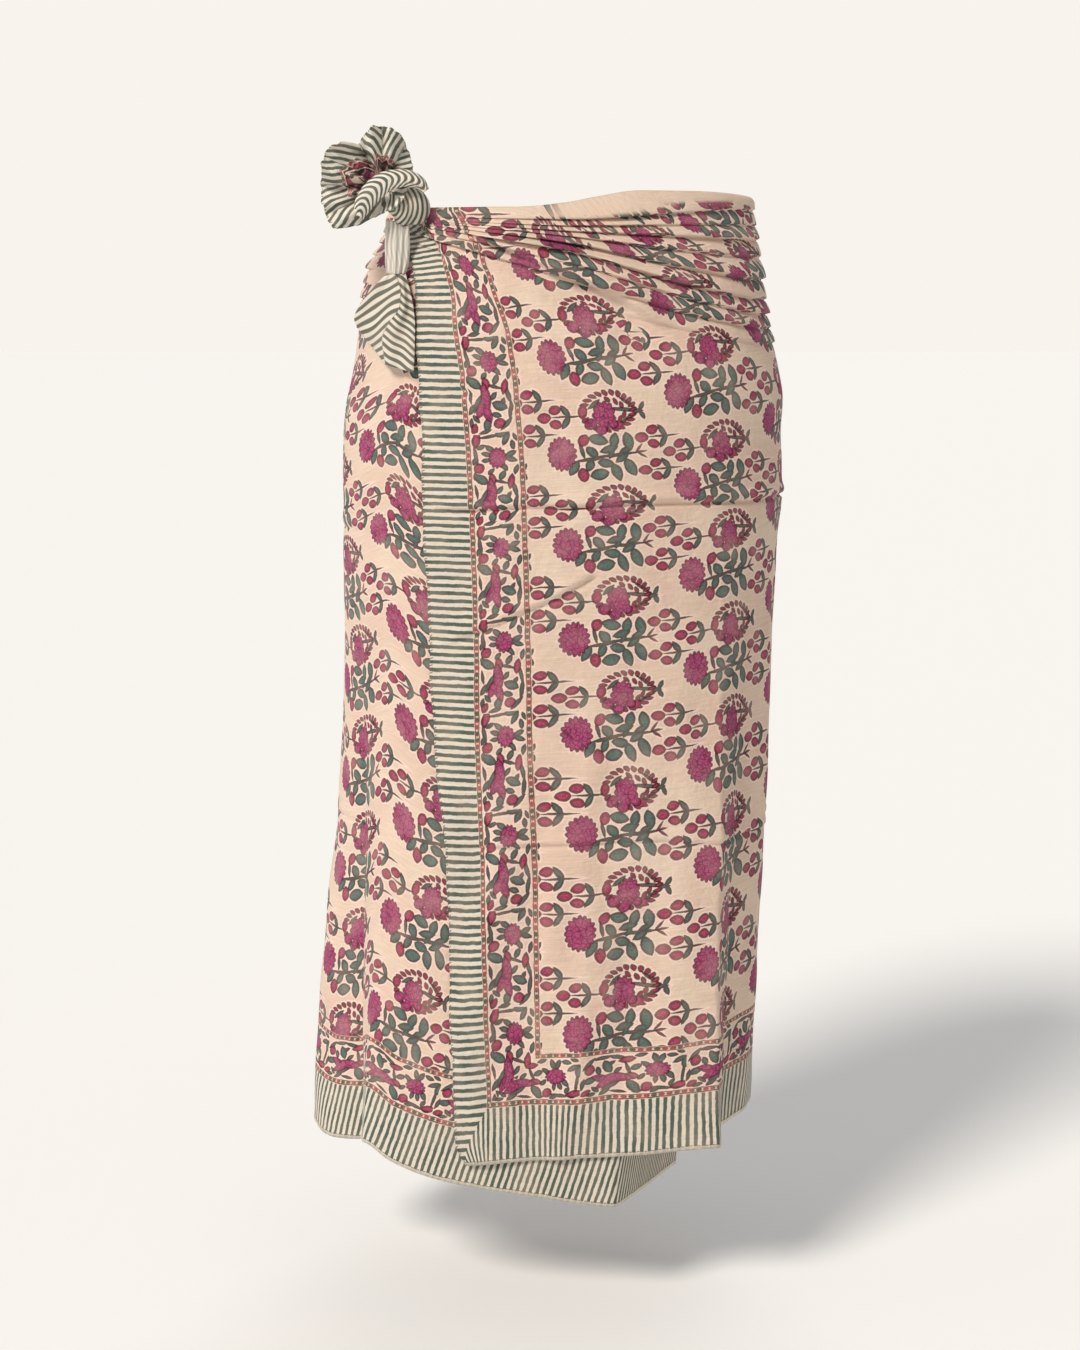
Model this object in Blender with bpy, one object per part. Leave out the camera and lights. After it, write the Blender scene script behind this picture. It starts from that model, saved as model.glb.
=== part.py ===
import bisect
import math

import bmesh
import bpy
from mathutils import Vector

# A block-printed cotton sarong, worn: one sheet wound once and a half round the hips and tied at the
# wearer's right hip, the left side as seen from the front. Sizes are in metres and angles in degrees.
# The front faces -Y, +X is the right side as seen from the front, and the origin is the waist's centre.
# An angle of 0 is the middle of the front, 90 the right side, 180 the back and -90 the knot's side.

WALL = 0.0018
SEAM = 0.0003
SEAM_REACH = 0.19
LAYER_GAP = 0.0032
REST_GAP = 0.0004

# The wound form, a row for each level: half its width, the middle's place across, how far the front
# and the back stand from the origin, and how square the outline is (2 is an ellipse).
SECTIONS = [
    {"height": 0.020, "half_width": 0.1735, "middle": 0.000, "front": 0.113, "back": 0.117, "square": 2.15},
    {"height": -0.024, "half_width": 0.1815, "middle": -0.002, "front": 0.122, "back": 0.127, "square": 2.15},
    {"height": -0.050, "half_width": 0.1905, "middle": -0.007, "front": 0.130, "back": 0.137, "square": 2.2},
    {"height": -0.09, "half_width": 0.1975, "middle": -0.0085, "front": 0.141, "back": 0.152, "square": 2.25},
    {"height": -0.120, "half_width": 0.2020, "middle": -0.007, "front": 0.147, "back": 0.160, "square": 2.3},
    {"height": -0.150, "half_width": 0.2075, "middle": -0.006, "front": 0.152, "back": 0.166, "square": 2.3},
    {"height": -0.185, "half_width": 0.2135, "middle": -0.008, "front": 0.156, "back": 0.169, "square": 2.3},
    {"height": -0.215, "half_width": 0.2155, "middle": -0.009, "front": 0.158, "back": 0.170, "square": 2.3},
    {"height": -0.300, "half_width": 0.2148, "middle": -0.0105, "front": 0.159, "back": 0.164, "square": 2.3},
    {"height": -0.420, "half_width": 0.2130, "middle": -0.013, "front": 0.156, "back": 0.154, "square": 2.3},
    {"height": -0.560, "half_width": 0.2155, "middle": -0.018, "front": 0.154, "back": 0.150, "square": 2.3},
    {"height": -0.700, "half_width": 0.2190, "middle": -0.028, "front": 0.154, "back": 0.150, "square": 2.3},
    {"height": -0.960, "half_width": 0.2255, "middle": -0.044, "front": 0.156, "back": 0.154, "square": 2.3},
]

# Folds that run down the cloth and open towards the hem. Each is a tent on the outline: where its line
# stands, how far it comes out at the hem (or goes in), and how wide and how hollow its two flanks are.
DOWN_FOLDS = [
    {
        "angle": 50.5, "rise": 0.041,
        "left": 50.0, "left_power": 3.0, "right": 11.0, "right_power": 1.0, "starts": -0.22,
    },
    {
        "angle": -71.5, "rise": -0.040,
        "left": 19.0, "left_power": 1.3, "right": 15.0, "right_power": 1.0, "starts": -0.26,
    },
    {
        "angle": 118.0, "rise": -0.014,
        "left": 15.0, "left_power": 1.5, "right": 17.0, "right_power": 1.4, "starts": -0.34,
    },
    {
        "angle": 151.0, "rise": 0.015,
        "left": 16.0, "left_power": 1.4, "right": 12.0, "right_power": 1.2, "starts": -0.30,
    },
    {
        "angle": 187.0, "rise": -0.011,
        "left": 13.0, "left_power": 1.3, "right": 18.0, "right_power": 1.5, "starts": -0.42,
    },
    {
        "angle": 218.0, "rise": 0.017,
        "left": 15.0, "left_power": 1.3, "right": 13.0, "right_power": 1.3, "starts": -0.28,
    },
    {
        "angle": 246.0, "rise": -0.013,
        "left": 14.0, "left_power": 1.2, "right": 16.0, "right_power": 1.5, "starts": -0.38,
    },
]
FOLD_FULL_HEIGHT = -0.900

# Gathers pulled out of the knot and round the waist: each one's height at the knot, at the middle of
# the front, at the right hip, at the middle of the back and at the knot's own hip, and how proud it is.
GATHERS = [
    {"knot": -0.004, "front": -0.006, "hip": 0.006, "back": 0.001, "far_hip": -0.006, "rise": 0.0020},
    {"knot": -0.006, "front": -0.012, "hip": -0.009, "back": -0.011, "far_hip": -0.016, "rise": 0.0024},
    {"knot": -0.007, "front": -0.017, "hip": -0.022, "back": -0.023, "far_hip": -0.026, "rise": 0.0022},
    {"knot": -0.008, "front": -0.022, "hip": -0.038, "back": -0.036, "far_hip": -0.037, "rise": 0.0030},
    {"knot": -0.010, "front": -0.028, "hip": -0.059, "back": -0.052, "far_hip": -0.050, "rise": 0.0042},
    {"knot": -0.012, "front": -0.035, "hip": -0.079, "back": -0.070, "far_hip": -0.064, "rise": 0.0046},
    {"knot": -0.015, "front": -0.045, "hip": -0.093, "back": -0.085, "far_hip": -0.078, "rise": 0.0030},
    {"knot": -0.019, "front": -0.058, "hip": -0.106, "back": -0.099, "far_hip": -0.092, "rise": 0.0040},
    {"knot": -0.026, "front": -0.076, "hip": -0.121, "back": -0.116, "far_hip": -0.108, "rise": 0.0026},
]
GATHER_ANGLES = {"knot": -62.0, "front": 0.0, "hip": 80.0, "back": 180.0, "far_hip": 270.0}
FULL_PITCH = 0.013
LOWEST_GATHER_DROP = 0.014

# Levels of the wall below the gathers. The two pressed creases stand a little proud of the cloth.
LEVELS = [
    {"height": -0.140, "rise": 0.0},
    {"height": -0.170, "rise": 0.0},
    {"height": -0.212, "rise": 0.0},
    {"height": -0.256, "rise": 0.0},
    {"height": -0.266, "rise": 0.0018},
    {"height": -0.276, "rise": 0.0},
    {"height": -0.330, "rise": 0.0},
    {"height": -0.400, "rise": 0.0},
    {"height": -0.470, "rise": 0.0},
    {"height": -0.530, "rise": 0.0},
    {"height": -0.581, "rise": 0.0},
    {"height": -0.590, "rise": 0.0014},
    {"height": -0.599, "rise": 0.0},
    {"height": -0.655, "rise": 0.0},
    {"height": -0.715, "rise": 0.0},
    {"height": -0.775, "rise": 0.0},
    {"height": -0.840, "rise": 0.0},
    {"height": -0.900, "rise": 0.0},
]
HEM_LEVEL = -0.900
# Levels above this one are eased down where the gathers reach them.
EASED_ABOVE = -0.266
BELOW_GATHERS = 0.016
STRETCH_BELOW = -0.600

# Edges of the stretches. The free edge is given by its place across, the others by their height.
FREE_EDGE = [
    {"height": 0.010, "across": -0.146},
    {"height": -0.022, "across": -0.156},
    {"height": -0.056, "across": -0.150},
    {"height": -0.125, "across": -0.145},
    {"height": -0.278, "across": -0.140},
    {"height": -0.446, "across": -0.133},
    {"height": -0.526, "across": -0.130},
    {"height": -0.575, "across": -0.121},
    {"height": -0.651, "across": -0.119},
    {"height": -0.743, "across": -0.117},
    {"height": -0.884, "across": -0.112},
    {"height": -0.915, "across": -0.100},
]
TOP_EDGE = [
    {"angle": -66.0, "height": 0.005},
    {"angle": -25.0, "height": 0.005},
    {"angle": -3.0, "height": 0.009},
    {"angle": 10.0, "height": 0.014},
    {"angle": 30.0, "height": 0.020},
    {"angle": 50.0, "height": 0.020},
    {"angle": 90.0, "height": 0.015},
    {"angle": 135.0, "height": 0.011},
    {"angle": 180.0, "height": 0.008},
    {"angle": 225.0, "height": 0.005},
    {"angle": 270.0, "height": 0.001},
]
HEM = [
    {"angle": -27.0, "height": -0.911},
    {"angle": -10.0, "height": -0.905},
    {"angle": 15.0, "height": -0.901},
    {"angle": 35.0, "height": -0.897},
    {"angle": 50.5, "height": -0.891},
    {"angle": 62.0, "height": -0.889},
    {"angle": 76.0, "height": -0.886},
    {"angle": 90.0, "height": -0.893},
    {"angle": 135.0, "height": -0.903},
    {"angle": 180.0, "height": -0.898},
    {"angle": 225.0, "height": -0.905},
    {"angle": 270.0, "height": -0.915},
]
UNDER_TOP_EDGE = [
    {"angle": -90.0, "height": 0.001},
    {"angle": -62.0, "height": -0.001},
    {"angle": 0.0, "height": -0.003},
    {"angle": 75.0, "height": -0.001},
]
UNDER_HEM = [
    {"angle": -90.0, "height": -0.915},
    {"angle": -80.0, "height": -0.921},
    {"angle": -71.5, "height": -0.917},
    {"angle": -56.5, "height": -0.900},
    {"angle": -47.0, "height": -0.914},
    {"angle": -30.0, "height": -0.928},
    {"angle": 0.0, "height": -0.940},
    {"angle": 29.5, "height": -0.951},
    {"angle": 72.0, "height": -0.944},
]

# The under layer slips below the outer one between these angles, and its end folds back inwards.
SLIP_FROM = -84.0
SLIP_TO = -58.0
FOLD_BACK_ANGLE = 29.5
FOLD_BACK_FACING = 58.0
FOLD_BACK_REACH = 0.1540
FOLD_BACK_STARTS = -0.20

# The columns of each stretch: the angles that must have a column, and the columns from the last one.
OUTER_COLUMNS = [(0.0, 13), (40.0, 7), (50.5, 4), (61.5, 3), (90.0, 6)]
BACK_COLUMNS = [(118.0, 4), (151.0, 4), (187.0, 4), (218.0, 4), (246.0, 3), (270.0, 3)]
UNDER_COLUMNS = [(-71.5, 4), (-56.5, 3), (-30.0, 5), (29.5, 9), (40.0, 2), (50.5, 2), (61.5, 2), (71.0, 2)]

# The knot: an egg of wrapped cloth outside the waist, with its wraps as shallow grooves.
KNOT_CENTRE = Vector((-0.1530, -0.0875, 0.0060))
KNOT_HALF = Vector((0.0205, 0.0175, 0.0190))
KNOT_WRAPS = 3
KNOT_WRAP_RISE = 2.2
KNOT_WRAP_SWAY = 0.9
KNOT_WRAP_START = 0.6
KNOT_INNERMOST = 0.05
KNOT_GROOVE = 0.0022
KNOT_RINGS = 14
KNOT_SIDES = 24
GATHER_NEAR_KNOT = 0.0008

# The opened end above the knot, seen from the front: how far its rim reaches from the throat at each
# turn (0 is to the right, 90 is up), and how far the rim comes forward of the throat there.
ROSETTE_THROAT = Vector((-0.1770, -0.0960, 0.0230))
ROSETTE_RIM = [
    {"turn": -75.0, "reach": 0.022, "forward": 0.010},
    {"turn": -25.0, "reach": 0.022, "forward": 0.014},
    {"turn": 20.0, "reach": 0.030, "forward": 0.002},
    {"turn": 55.0, "reach": 0.041, "forward": -0.006},
    {"turn": 76.0, "reach": 0.053, "forward": 0.004},
    {"turn": 96.0, "reach": 0.055, "forward": 0.016},
    {"turn": 108.0, "reach": 0.050, "forward": 0.010},
    {"turn": 119.0, "reach": 0.047, "forward": -0.010},
    {"turn": 133.0, "reach": 0.055, "forward": 0.004},
    {"turn": 150.0, "reach": 0.060, "forward": 0.020},
    {"turn": 168.0, "reach": 0.057, "forward": 0.010},
    {"turn": 184.0, "reach": 0.058, "forward": -0.004},
    {"turn": 200.0, "reach": 0.058, "forward": 0.012},
    {"turn": 217.0, "reach": 0.059, "forward": 0.018},
    {"turn": 231.0, "reach": 0.047, "forward": 0.002},
    {"turn": 252.0, "reach": 0.029, "forward": 0.000},
]
ROSETTE_RINGS = 8
ROSETTE_SIDES = 48
ROSETTE_RUFFLES = 9
ROSETTE_RUFFLE_DEPTH = 0.0045
ROSETTE_WALL = 0.0016
ROSETTE_OPEN = 0.10
ROSETTE_CUP = 0.008
ROSETTE_OFF_CLOTH = 0.006
ROSETTE_FULL_REACH = 0.058

# The neck and the lobe of the lower end, a row for each level: the places across and heights of the
# left edge, of the fold in the middle and of the right edge, and how far the fold stands forward.
NECK_ROWS = [
    {
        "left": -0.1755, "fold": -0.1650, "right": -0.1530,
        "left_z": -0.0060, "fold_z": -0.0070, "right_z": -0.0090, "proud": 0.003,
    },
    {
        "left": -0.1765, "fold": -0.1655, "right": -0.1525,
        "left_z": -0.0300, "fold_z": -0.0305, "right_z": -0.0300, "proud": 0.005,
    },
    {
        "left": -0.1765, "fold": -0.1660, "right": -0.1535,
        "left_z": -0.0450, "fold_z": -0.0455, "right_z": -0.0450, "proud": 0.006,
    },
    {
        "left": -0.1750, "fold": -0.1665, "right": -0.1570,
        "left_z": -0.0560, "fold_z": -0.0565, "right_z": -0.0560, "proud": 0.007,
    },
]
LOBE_ROWS = [
    {
        "left": -0.1755, "fold": -0.1665, "right": -0.1570,
        "left_z": -0.0565, "fold_z": -0.0570, "right_z": -0.0565, "proud": 0.007,
    },
    {
        "left": -0.1890, "fold": -0.1610, "right": -0.1530,
        "left_z": -0.0700, "fold_z": -0.0730, "right_z": -0.0700, "proud": 0.011,
    },
    {
        "left": -0.2010, "fold": -0.1620, "right": -0.1490,
        "left_z": -0.0850, "fold_z": -0.0870, "right_z": -0.0860, "proud": 0.015,
    },
    {
        "left": -0.2070, "fold": -0.1720, "right": -0.1470,
        "left_z": -0.0980, "fold_z": -0.1010, "right_z": -0.1050, "proud": 0.017,
    },
    {
        "left": -0.1990, "fold": -0.1790, "right": -0.1475,
        "left_z": -0.1130, "fold_z": -0.1170, "right_z": -0.1280, "proud": 0.015,
    },
    {
        "left": -0.1900, "fold": -0.1760, "right": -0.1485,
        "left_z": -0.1240, "fold_z": -0.1400, "right_z": -0.1470, "proud": 0.010,
    },
]
TAIL_HALF_COLUMNS = 5
TAIL_ROWS_BETWEEN = 2
TAIL_PLEATS = 3
TAIL_PLEAT_DEPTH = 0.0010
TAIL_WALL = 0.0014
TAIL_NEAR = -0.0915
TAIL_SLOPE = 0.35

COTTON_CREAM = (0.80, 0.64, 0.46)
COTTON_BORDER = (0.62, 0.64, 0.50)


def clear_objects():
    for item in list(bpy.data.objects):
        bpy.data.objects.remove(item, do_unlink=True)


def cotton(name, colour):
    material = bpy.data.materials.new(name)
    material.use_nodes = True
    shader = material.node_tree.nodes["Principled BSDF"]
    shader.inputs["Base Color"].default_value = (colour[0], colour[1], colour[2], 1.0)
    shader.inputs["Roughness"].default_value = 0.85
    shader.inputs["Metallic"].default_value = 0.0
    return material


def smooth(value):
    value = max(0.0, min(1.0, value))
    return value * value * (3.0 - 2.0 * value)


# A smooth curve through one column of a table, without overshoot between its rows.
def read_table(table, key, column, value, closed=False):
    places = [row[key] for row in table]
    amounts = [row[column] for row in table]
    if places[0] > places[-1]:
        places.reverse()
        amounts.reverse()
    if closed:
        value = (value - places[0]) % 360.0 + places[0]
        places = places + [places[0] + 360.0]
        amounts = amounts + [amounts[0]]
    value = max(places[0], min(places[-1], value))
    at = min(len(places) - 2, max(0, bisect.bisect_right(places, value) - 1))
    steps = [amounts[i + 1] - amounts[i] for i in range(len(amounts) - 1)]
    gaps = [places[i + 1] - places[i] for i in range(len(places) - 1)]
    slopes = [0.0] * len(places)
    for i in range(1, len(places) - 1):
        before = steps[i - 1] / gaps[i - 1]
        after = steps[i] / gaps[i]
        if before * after > 0.0:
            slopes[i] = 2.0 * before * after / (before + after)
    if not closed:
        slopes[0] = steps[0] / gaps[0]
        slopes[-1] = steps[-1] / gaps[-1]
    t = (value - places[at]) / gaps[at]
    rise = (2.0 * t ** 3 - 3.0 * t ** 2 + 1.0) * amounts[at] + (3.0 * t ** 2 - 2.0 * t ** 3) * amounts[at + 1]
    lean = (t ** 3 - 2.0 * t ** 2 + t) * slopes[at] + (t ** 3 - t ** 2) * slopes[at + 1]
    return rise + lean * gaps[at]


# The angle brought between -180 and 180.
def wrapped(angle):
    return (angle + 180.0) % 360.0 - 180.0


def fold_depth(angle, height):
    total = 0.0
    for fold in DOWN_FOLDS:
        off = wrapped(angle - fold["angle"])
        spread = fold["left"] if off < 0.0 else fold["right"]
        power = fold["left_power"] if off < 0.0 else fold["right_power"]
        if abs(off) >= spread:
            continue
        growth = max(0.0, (fold["starts"] - height) / (fold["starts"] - FOLD_FULL_HEIGHT)) ** 1.3
        total += fold["rise"] * growth * (1.0 - abs(off) / spread) ** power
    return total


def middle_at(height):
    return read_table(SECTIONS, "height", "middle", height)


# How far the wound cloth's outside stands from the section's middle.
def reach_at(angle, height):
    half_width = read_table(SECTIONS, "height", "half_width", height)
    front = read_table(SECTIONS, "height", "front", height)
    back = read_table(SECTIONS, "height", "back", height)
    square = read_table(SECTIONS, "height", "square", height)
    across = abs(math.sin(math.radians(angle)))
    along = math.cos(math.radians(angle))
    depth = front if along > 0.0 else back
    oval = ((across / half_width) ** square + (abs(along) / depth) ** square) ** (-1.0 / square)
    return oval + fold_depth(angle, height)


def place(angle, height, reach):
    turn = math.radians(angle)
    return Vector((middle_at(height) + reach * math.sin(turn), -reach * math.cos(turn), height))


# The angle on the front where the cloth stands at this place across.
def angle_of(across, height):
    low = -88.0
    high = 40.0
    for _ in range(30):
        middle = (low + high) / 2.0
        if place(middle, height, reach_at(middle, height)).x < across:
            low = middle
        else:
            high = middle
    return (low + high) / 2.0


def gather_height(gather, angle):
    stations = [{"angle": GATHER_ANGLES[name], "height": gather[name]} for name in GATHER_ANGLES]
    return read_table(stations, "angle", "height", angle)


# The heights and rises of the wall's rows, from the top edge to the hem, at one angle.
def row_heights(angle, gather_angle, top_edge, hem):
    lines = [gather_height(gather, gather_angle) for gather in GATHERS]
    rows = [(read_table(top_edge, "angle", "height", angle), 0.0)]
    for number, gather in enumerate(GATHERS):
        below = lines[number + 1] if number + 1 < len(lines) else lines[number] - LOWEST_GATHER_DROP
        pitch = lines[number] - below
        rows.append((lines[number], gather["rise"] * min(1.0, pitch / FULL_PITCH)))
        rows.append(((lines[number] + below) / 2.0, 0.0))
    last = rows[-1][0]
    hem_height = read_table(hem, "angle", "height", angle)
    first_level = LEVELS[0]["height"]
    for level in LEVELS:
        height = level["height"]
        if height > EASED_ABOVE:
            share = (height - EASED_ABOVE) / (first_level - EASED_ABOVE)
            height += share * max(0.0, last - BELOW_GATHERS - first_level)
        if height < STRETCH_BELOW:
            share = (height - STRETCH_BELOW) / (HEM_LEVEL - STRETCH_BELOW)
            height = STRETCH_BELOW + share * (hem_height - STRETCH_BELOW)
        rows.append((height, level["rise"]))
    return rows


# Angles from the start, in the given number of even steps to each station.
def column_angles(start, stations):
    angles = [start]
    for angle, steps in stations:
        first = angles[-1]
        angles.extend(first + (angle - first) * (step + 1) / steps for step in range(steps))
    return angles


def free_edge_angle(height):
    return angle_of(read_table(FREE_EDGE, "height", "across", height), height)


# The outer front, from the free edge round to the right side.
def outer_points():
    seam_angle = math.degrees(SEAM / 2.0 / SEAM_REACH)
    stations = OUTER_COLUMNS[:-1] + [(90.0 - seam_angle, OUTER_COLUMNS[-1][1])]
    count = 1 + sum(steps for _, steps in stations)
    columns = []
    for number in range(count):
        column = []
        for row in range(1 + 2 * len(GATHERS) + len(LEVELS)):
            angle = 0.0
            for _ in range(4):
                height = row_heights(angle, angle, TOP_EDGE, HEM)[row][0]
                angle = column_angles(free_edge_angle(height), stations)[number]
            height, rise = row_heights(angle, angle, TOP_EDGE, HEM)[row]
            column.append(place(angle, height, reach_at(angle, height) + rise))
        columns.append(column)
    return columns


# The stretch from the right side round the back to the knot's side.
def back_points():
    seam_angle = math.degrees(SEAM / 2.0 / SEAM_REACH)
    stations = BACK_COLUMNS[:-1] + [(270.0 - seam_angle, BACK_COLUMNS[-1][1])]
    columns = []
    for angle in column_angles(90.0 + seam_angle, stations):
        rows = row_heights(angle, angle, TOP_EDGE, HEM)
        columns.append([place(angle, height, reach_at(angle, height) + rise) for height, rise in rows])
    return columns


# The under front, from the knot's side to its end, which folds back inwards below the hip.
def under_points():
    seam_angle = math.degrees(SEAM / 2.0 / SEAM_REACH)
    columns = []
    for angle in column_angles(-90.0 + seam_angle, UNDER_COLUMNS):
        slip = smooth((angle - SLIP_FROM) / (SLIP_TO - SLIP_FROM))
        column = []
        for height, rise in row_heights(angle, GATHER_ANGLES["far_hip"], UNDER_TOP_EDGE, UNDER_HEM):
            reach = reach_at(angle, height) - slip * (WALL + LAYER_GAP) + rise * (1.0 - slip)
            if angle > FOLD_BACK_ANGLE:
                line = FOLD_BACK_REACH / math.cos(math.radians(angle - FOLD_BACK_FACING))
                share = smooth((FOLD_BACK_STARTS - height) / (FOLD_BACK_STARTS - HEM_LEVEL))
                reach += share * min(0.0, line - reach)
            column.append(place(angle, height, reach))
        columns.append(column)
    return columns


# Outward directions at a grid of points, evened out along the columns.
def grid_normals(columns):
    wide = len(columns)
    tall = len(columns[0])
    normals = []
    for i in range(wide):
        line = []
        for j in range(tall):
            along = columns[min(wide - 1, i + 1)][j] - columns[max(0, i - 1)][j]
            down = columns[i][min(tall - 1, j + 1)] - columns[i][max(0, j - 1)]
            line.append(down.cross(along).normalized())
        for _ in range(3):
            even = []
            for j in range(tall):
                total = line[j] * 2.0 + line[min(tall - 1, j + 1)] + line[max(0, j - 1)]
                even.append(total.normalized())
            line = even
        normals.append(line)
    return normals


def add_object(name, shape, material):
    bmesh.ops.recalc_face_normals(shape, faces=shape.faces[:])
    mesh = bpy.data.meshes.new(name)
    shape.to_mesh(mesh)
    shape.free()
    mesh.materials.append(material)
    mesh.shade_smooth()
    built = bpy.data.objects.new(name, mesh)
    bpy.context.collection.objects.link(built)
    return built


# A wall of cloth behind a grid of outside points, closed along its edges.
# The columns named as seams are cut straight through the wall, in the plane of the side seam.
def cloth_wall(name, columns, thickness, material, closed=False, seams=()):
    normals = grid_normals(columns)
    for i in seams:
        normals[i] = [Vector((n.x, 0.0, n.z)).normalized() for n in normals[i]]
    if closed:
        wide = len(columns)
        for i in (0, wide - 1):
            for j in range(len(columns[0])):
                along = columns[(i + 1) % wide][j] - columns[(i - 1) % wide][j]
                down = columns[i][min(len(columns[0]) - 1, j + 1)] - columns[i][max(0, j - 1)]
                normals[i][j] = down.cross(along).normalized()
    shape = bmesh.new()
    faces = []
    for side in (0.0, thickness):
        grid = []
        for column, directions in zip(columns, normals):
            grid.append([shape.verts.new(p - n * side) for p, n in zip(column, directions)])
        faces.append(grid)
    wide = len(columns)
    tall = len(columns[0])
    for grid in faces:
        for i in range(wide if closed else wide - 1):
            for j in range(tall - 1):
                after = grid[(i + 1) % wide]
                shape.faces.new((grid[i][j], after[j], after[j + 1], grid[i][j + 1]))
    outside, inside = faces
    for i in range(wide if closed else wide - 1):
        after = (i + 1) % wide
        for j in (0, tall - 1):
            shape.faces.new((outside[i][j], outside[after][j], inside[after][j], inside[i][j]))
    if not closed:
        for i in (0, wide - 1):
            for j in range(tall - 1):
                shape.faces.new((outside[i][j], outside[i][j + 1], inside[i][j + 1], inside[i][j]))
    return add_object(name, shape, material)


# The place in depth just in front of the wound cloth.
def front_y(across, height, clear):
    angle = angle_of(across, height)
    return place(angle, height, reach_at(angle, height) + GATHERS[5]["rise"] + clear).y


# The point, moved straight out of the knot's egg where it would lie in it.
def clear_of_knot(point, clear):
    half = KNOT_HALF + Vector((clear, clear, clear))
    off = point - KNOT_CENTRE
    size = math.sqrt(sum((off[axis] / half[axis]) ** 2 for axis in range(3)))
    if size >= 1.0:
        return point
    return KNOT_CENTRE + off / max(size, KNOT_INNERMOST)


# The point, moved out of the wound cloth where it would lie in it.
def clear_of_cloth(point, clear):
    off = Vector((point.x - middle_at(point.z), point.y, 0.0))
    angle = math.degrees(math.atan2(off.x, -off.y))
    needed = reach_at(angle, point.z) + clear
    if off.length >= needed or point.z > SECTIONS[0]["height"]:
        return point
    return place(angle, point.z, needed)


def build_knot(material):
    shape = bmesh.new()
    bmesh.ops.create_uvsphere(shape, u_segments=KNOT_SIDES, v_segments=KNOT_RINGS, radius=1.0)
    for vertex in shape.verts:
        unit = vertex.co.copy()
        turn = math.atan2(unit.x, -unit.y)
        around = unit.z * KNOT_WRAP_RISE + KNOT_WRAP_SWAY * math.sin(turn)
        wave = math.sin(KNOT_WRAPS * around + KNOT_WRAP_START)
        groove = KNOT_GROOVE * (0.5 - 0.5 * wave) * math.sqrt(max(0.0, 1.0 - unit.z * unit.z))
        point = KNOT_CENTRE + Vector((unit.x * KNOT_HALF.x, unit.y * KNOT_HALF.y, unit.z * KNOT_HALF.z))
        point -= unit.normalized() * groove
        vertex.co = clear_of_cloth(point, GATHER_NEAR_KNOT + REST_GAP)
    return add_object("knot", shape, material)


def build_rosette(material):
    columns = []
    for side in range(ROSETTE_SIDES):
        turn = 360.0 * side / ROSETTE_SIDES
        reach = read_table(ROSETTE_RIM, "turn", "reach", turn, closed=True)
        forward = read_table(ROSETTE_RIM, "turn", "forward", turn, closed=True)
        ruffle = math.sin(math.radians(turn) * ROSETTE_RUFFLES)
        column = []
        for ring in range(ROSETTE_RINGS):
            share = ROSETTE_OPEN + (1.0 - ROSETTE_OPEN) * ring / (ROSETTE_RINGS - 1)
            cup = forward * share ** 1.5 - ROSETTE_CUP * (1.0 - share) ** 2
            wave = ROSETTE_RUFFLE_DEPTH * ruffle * share * reach / ROSETTE_FULL_REACH
            point = ROSETTE_THROAT + Vector((
                reach * share * math.cos(math.radians(turn)),
                -cup - wave,
                reach * share * math.sin(math.radians(turn)),
            ))
            clear = ROSETTE_WALL + REST_GAP
            column.append(clear_of_knot(clear_of_cloth(point, ROSETTE_OFF_CLOTH), clear))
        columns.append(column)
    return cloth_wall("rosette", columns, ROSETTE_WALL, material, closed=True)


# A grid of points over a tail, its middle fold standing forward and its pleats along it.
def tail_points(rows):
    levels = []
    count = (len(rows) - 1) * TAIL_ROWS_BETWEEN
    for step in range(count + 1):
        place_in = step / TAIL_ROWS_BETWEEN
        numbered = [dict(row, level=float(number)) for number, row in enumerate(rows)]
        names = ("left", "fold", "right", "left_z", "fold_z", "right_z", "proud")
        levels.append({name: read_table(numbered, "level", name, place_in) for name in names})
    columns = []
    for number in range(2 * TAIL_HALF_COLUMNS + 1):
        half = number / TAIL_HALF_COLUMNS
        column = []
        for level in levels:
            if half <= 1.0:
                across = level["left"] + (level["fold"] - level["left"]) * half
                height = level["left_z"] + (level["fold_z"] - level["left_z"]) * half
                stand = level["proud"] * half
            else:
                across = level["fold"] + (level["right"] - level["fold"]) * (half - 1.0)
                height = level["fold_z"] + (level["right_z"] - level["fold_z"]) * (half - 1.0)
                stand = level["proud"] * (2.0 - half)
            pleat = TAIL_PLEAT_DEPTH * math.sin(half * math.pi * TAIL_PLEATS)
            plane = TAIL_NEAR + TAIL_SLOPE * (NECK_ROWS[0]["right"] - across)
            near = min(plane, front_y(across, height, TAIL_WALL + REST_GAP))
            point = Vector((across, near - stand - pleat, height))
            column.append(clear_of_knot(point, TAIL_WALL / 2.0 + REST_GAP))
        columns.append(column)
    return columns


def main():
    clear_objects()
    cream = cotton("printed cotton, cream ground", COTTON_CREAM)
    border = cotton("printed cotton, striped border", COTTON_BORDER)
    cloth_wall("outer_front", outer_points(), WALL, cream, seams=(-1,))
    cloth_wall("back_wrap", back_points(), WALL, cream, seams=(0, -1))
    cloth_wall("under_front", under_points(), WALL, cream, seams=(0,))
    build_knot(border)
    build_rosette(border)
    cloth_wall("tail_neck", tail_points(NECK_ROWS), TAIL_WALL, border)
    cloth_wall("tail_lobe", tail_points(LOBE_ROWS), TAIL_WALL, border)


main()
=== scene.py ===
# A worn longyi sarong of block-printed cotton: its looks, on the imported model.
# Metres and degrees. The front faces -Y, +X is the right side as seen from the front, and the waist is at 0.
# Round the body 0 is the middle of the front, 90 the right side, 180 the back and -90 the knot's side.
import math
import bmesh
import bpy
import numpy as np
from mathutils import Matrix, Vector, noise


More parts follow.
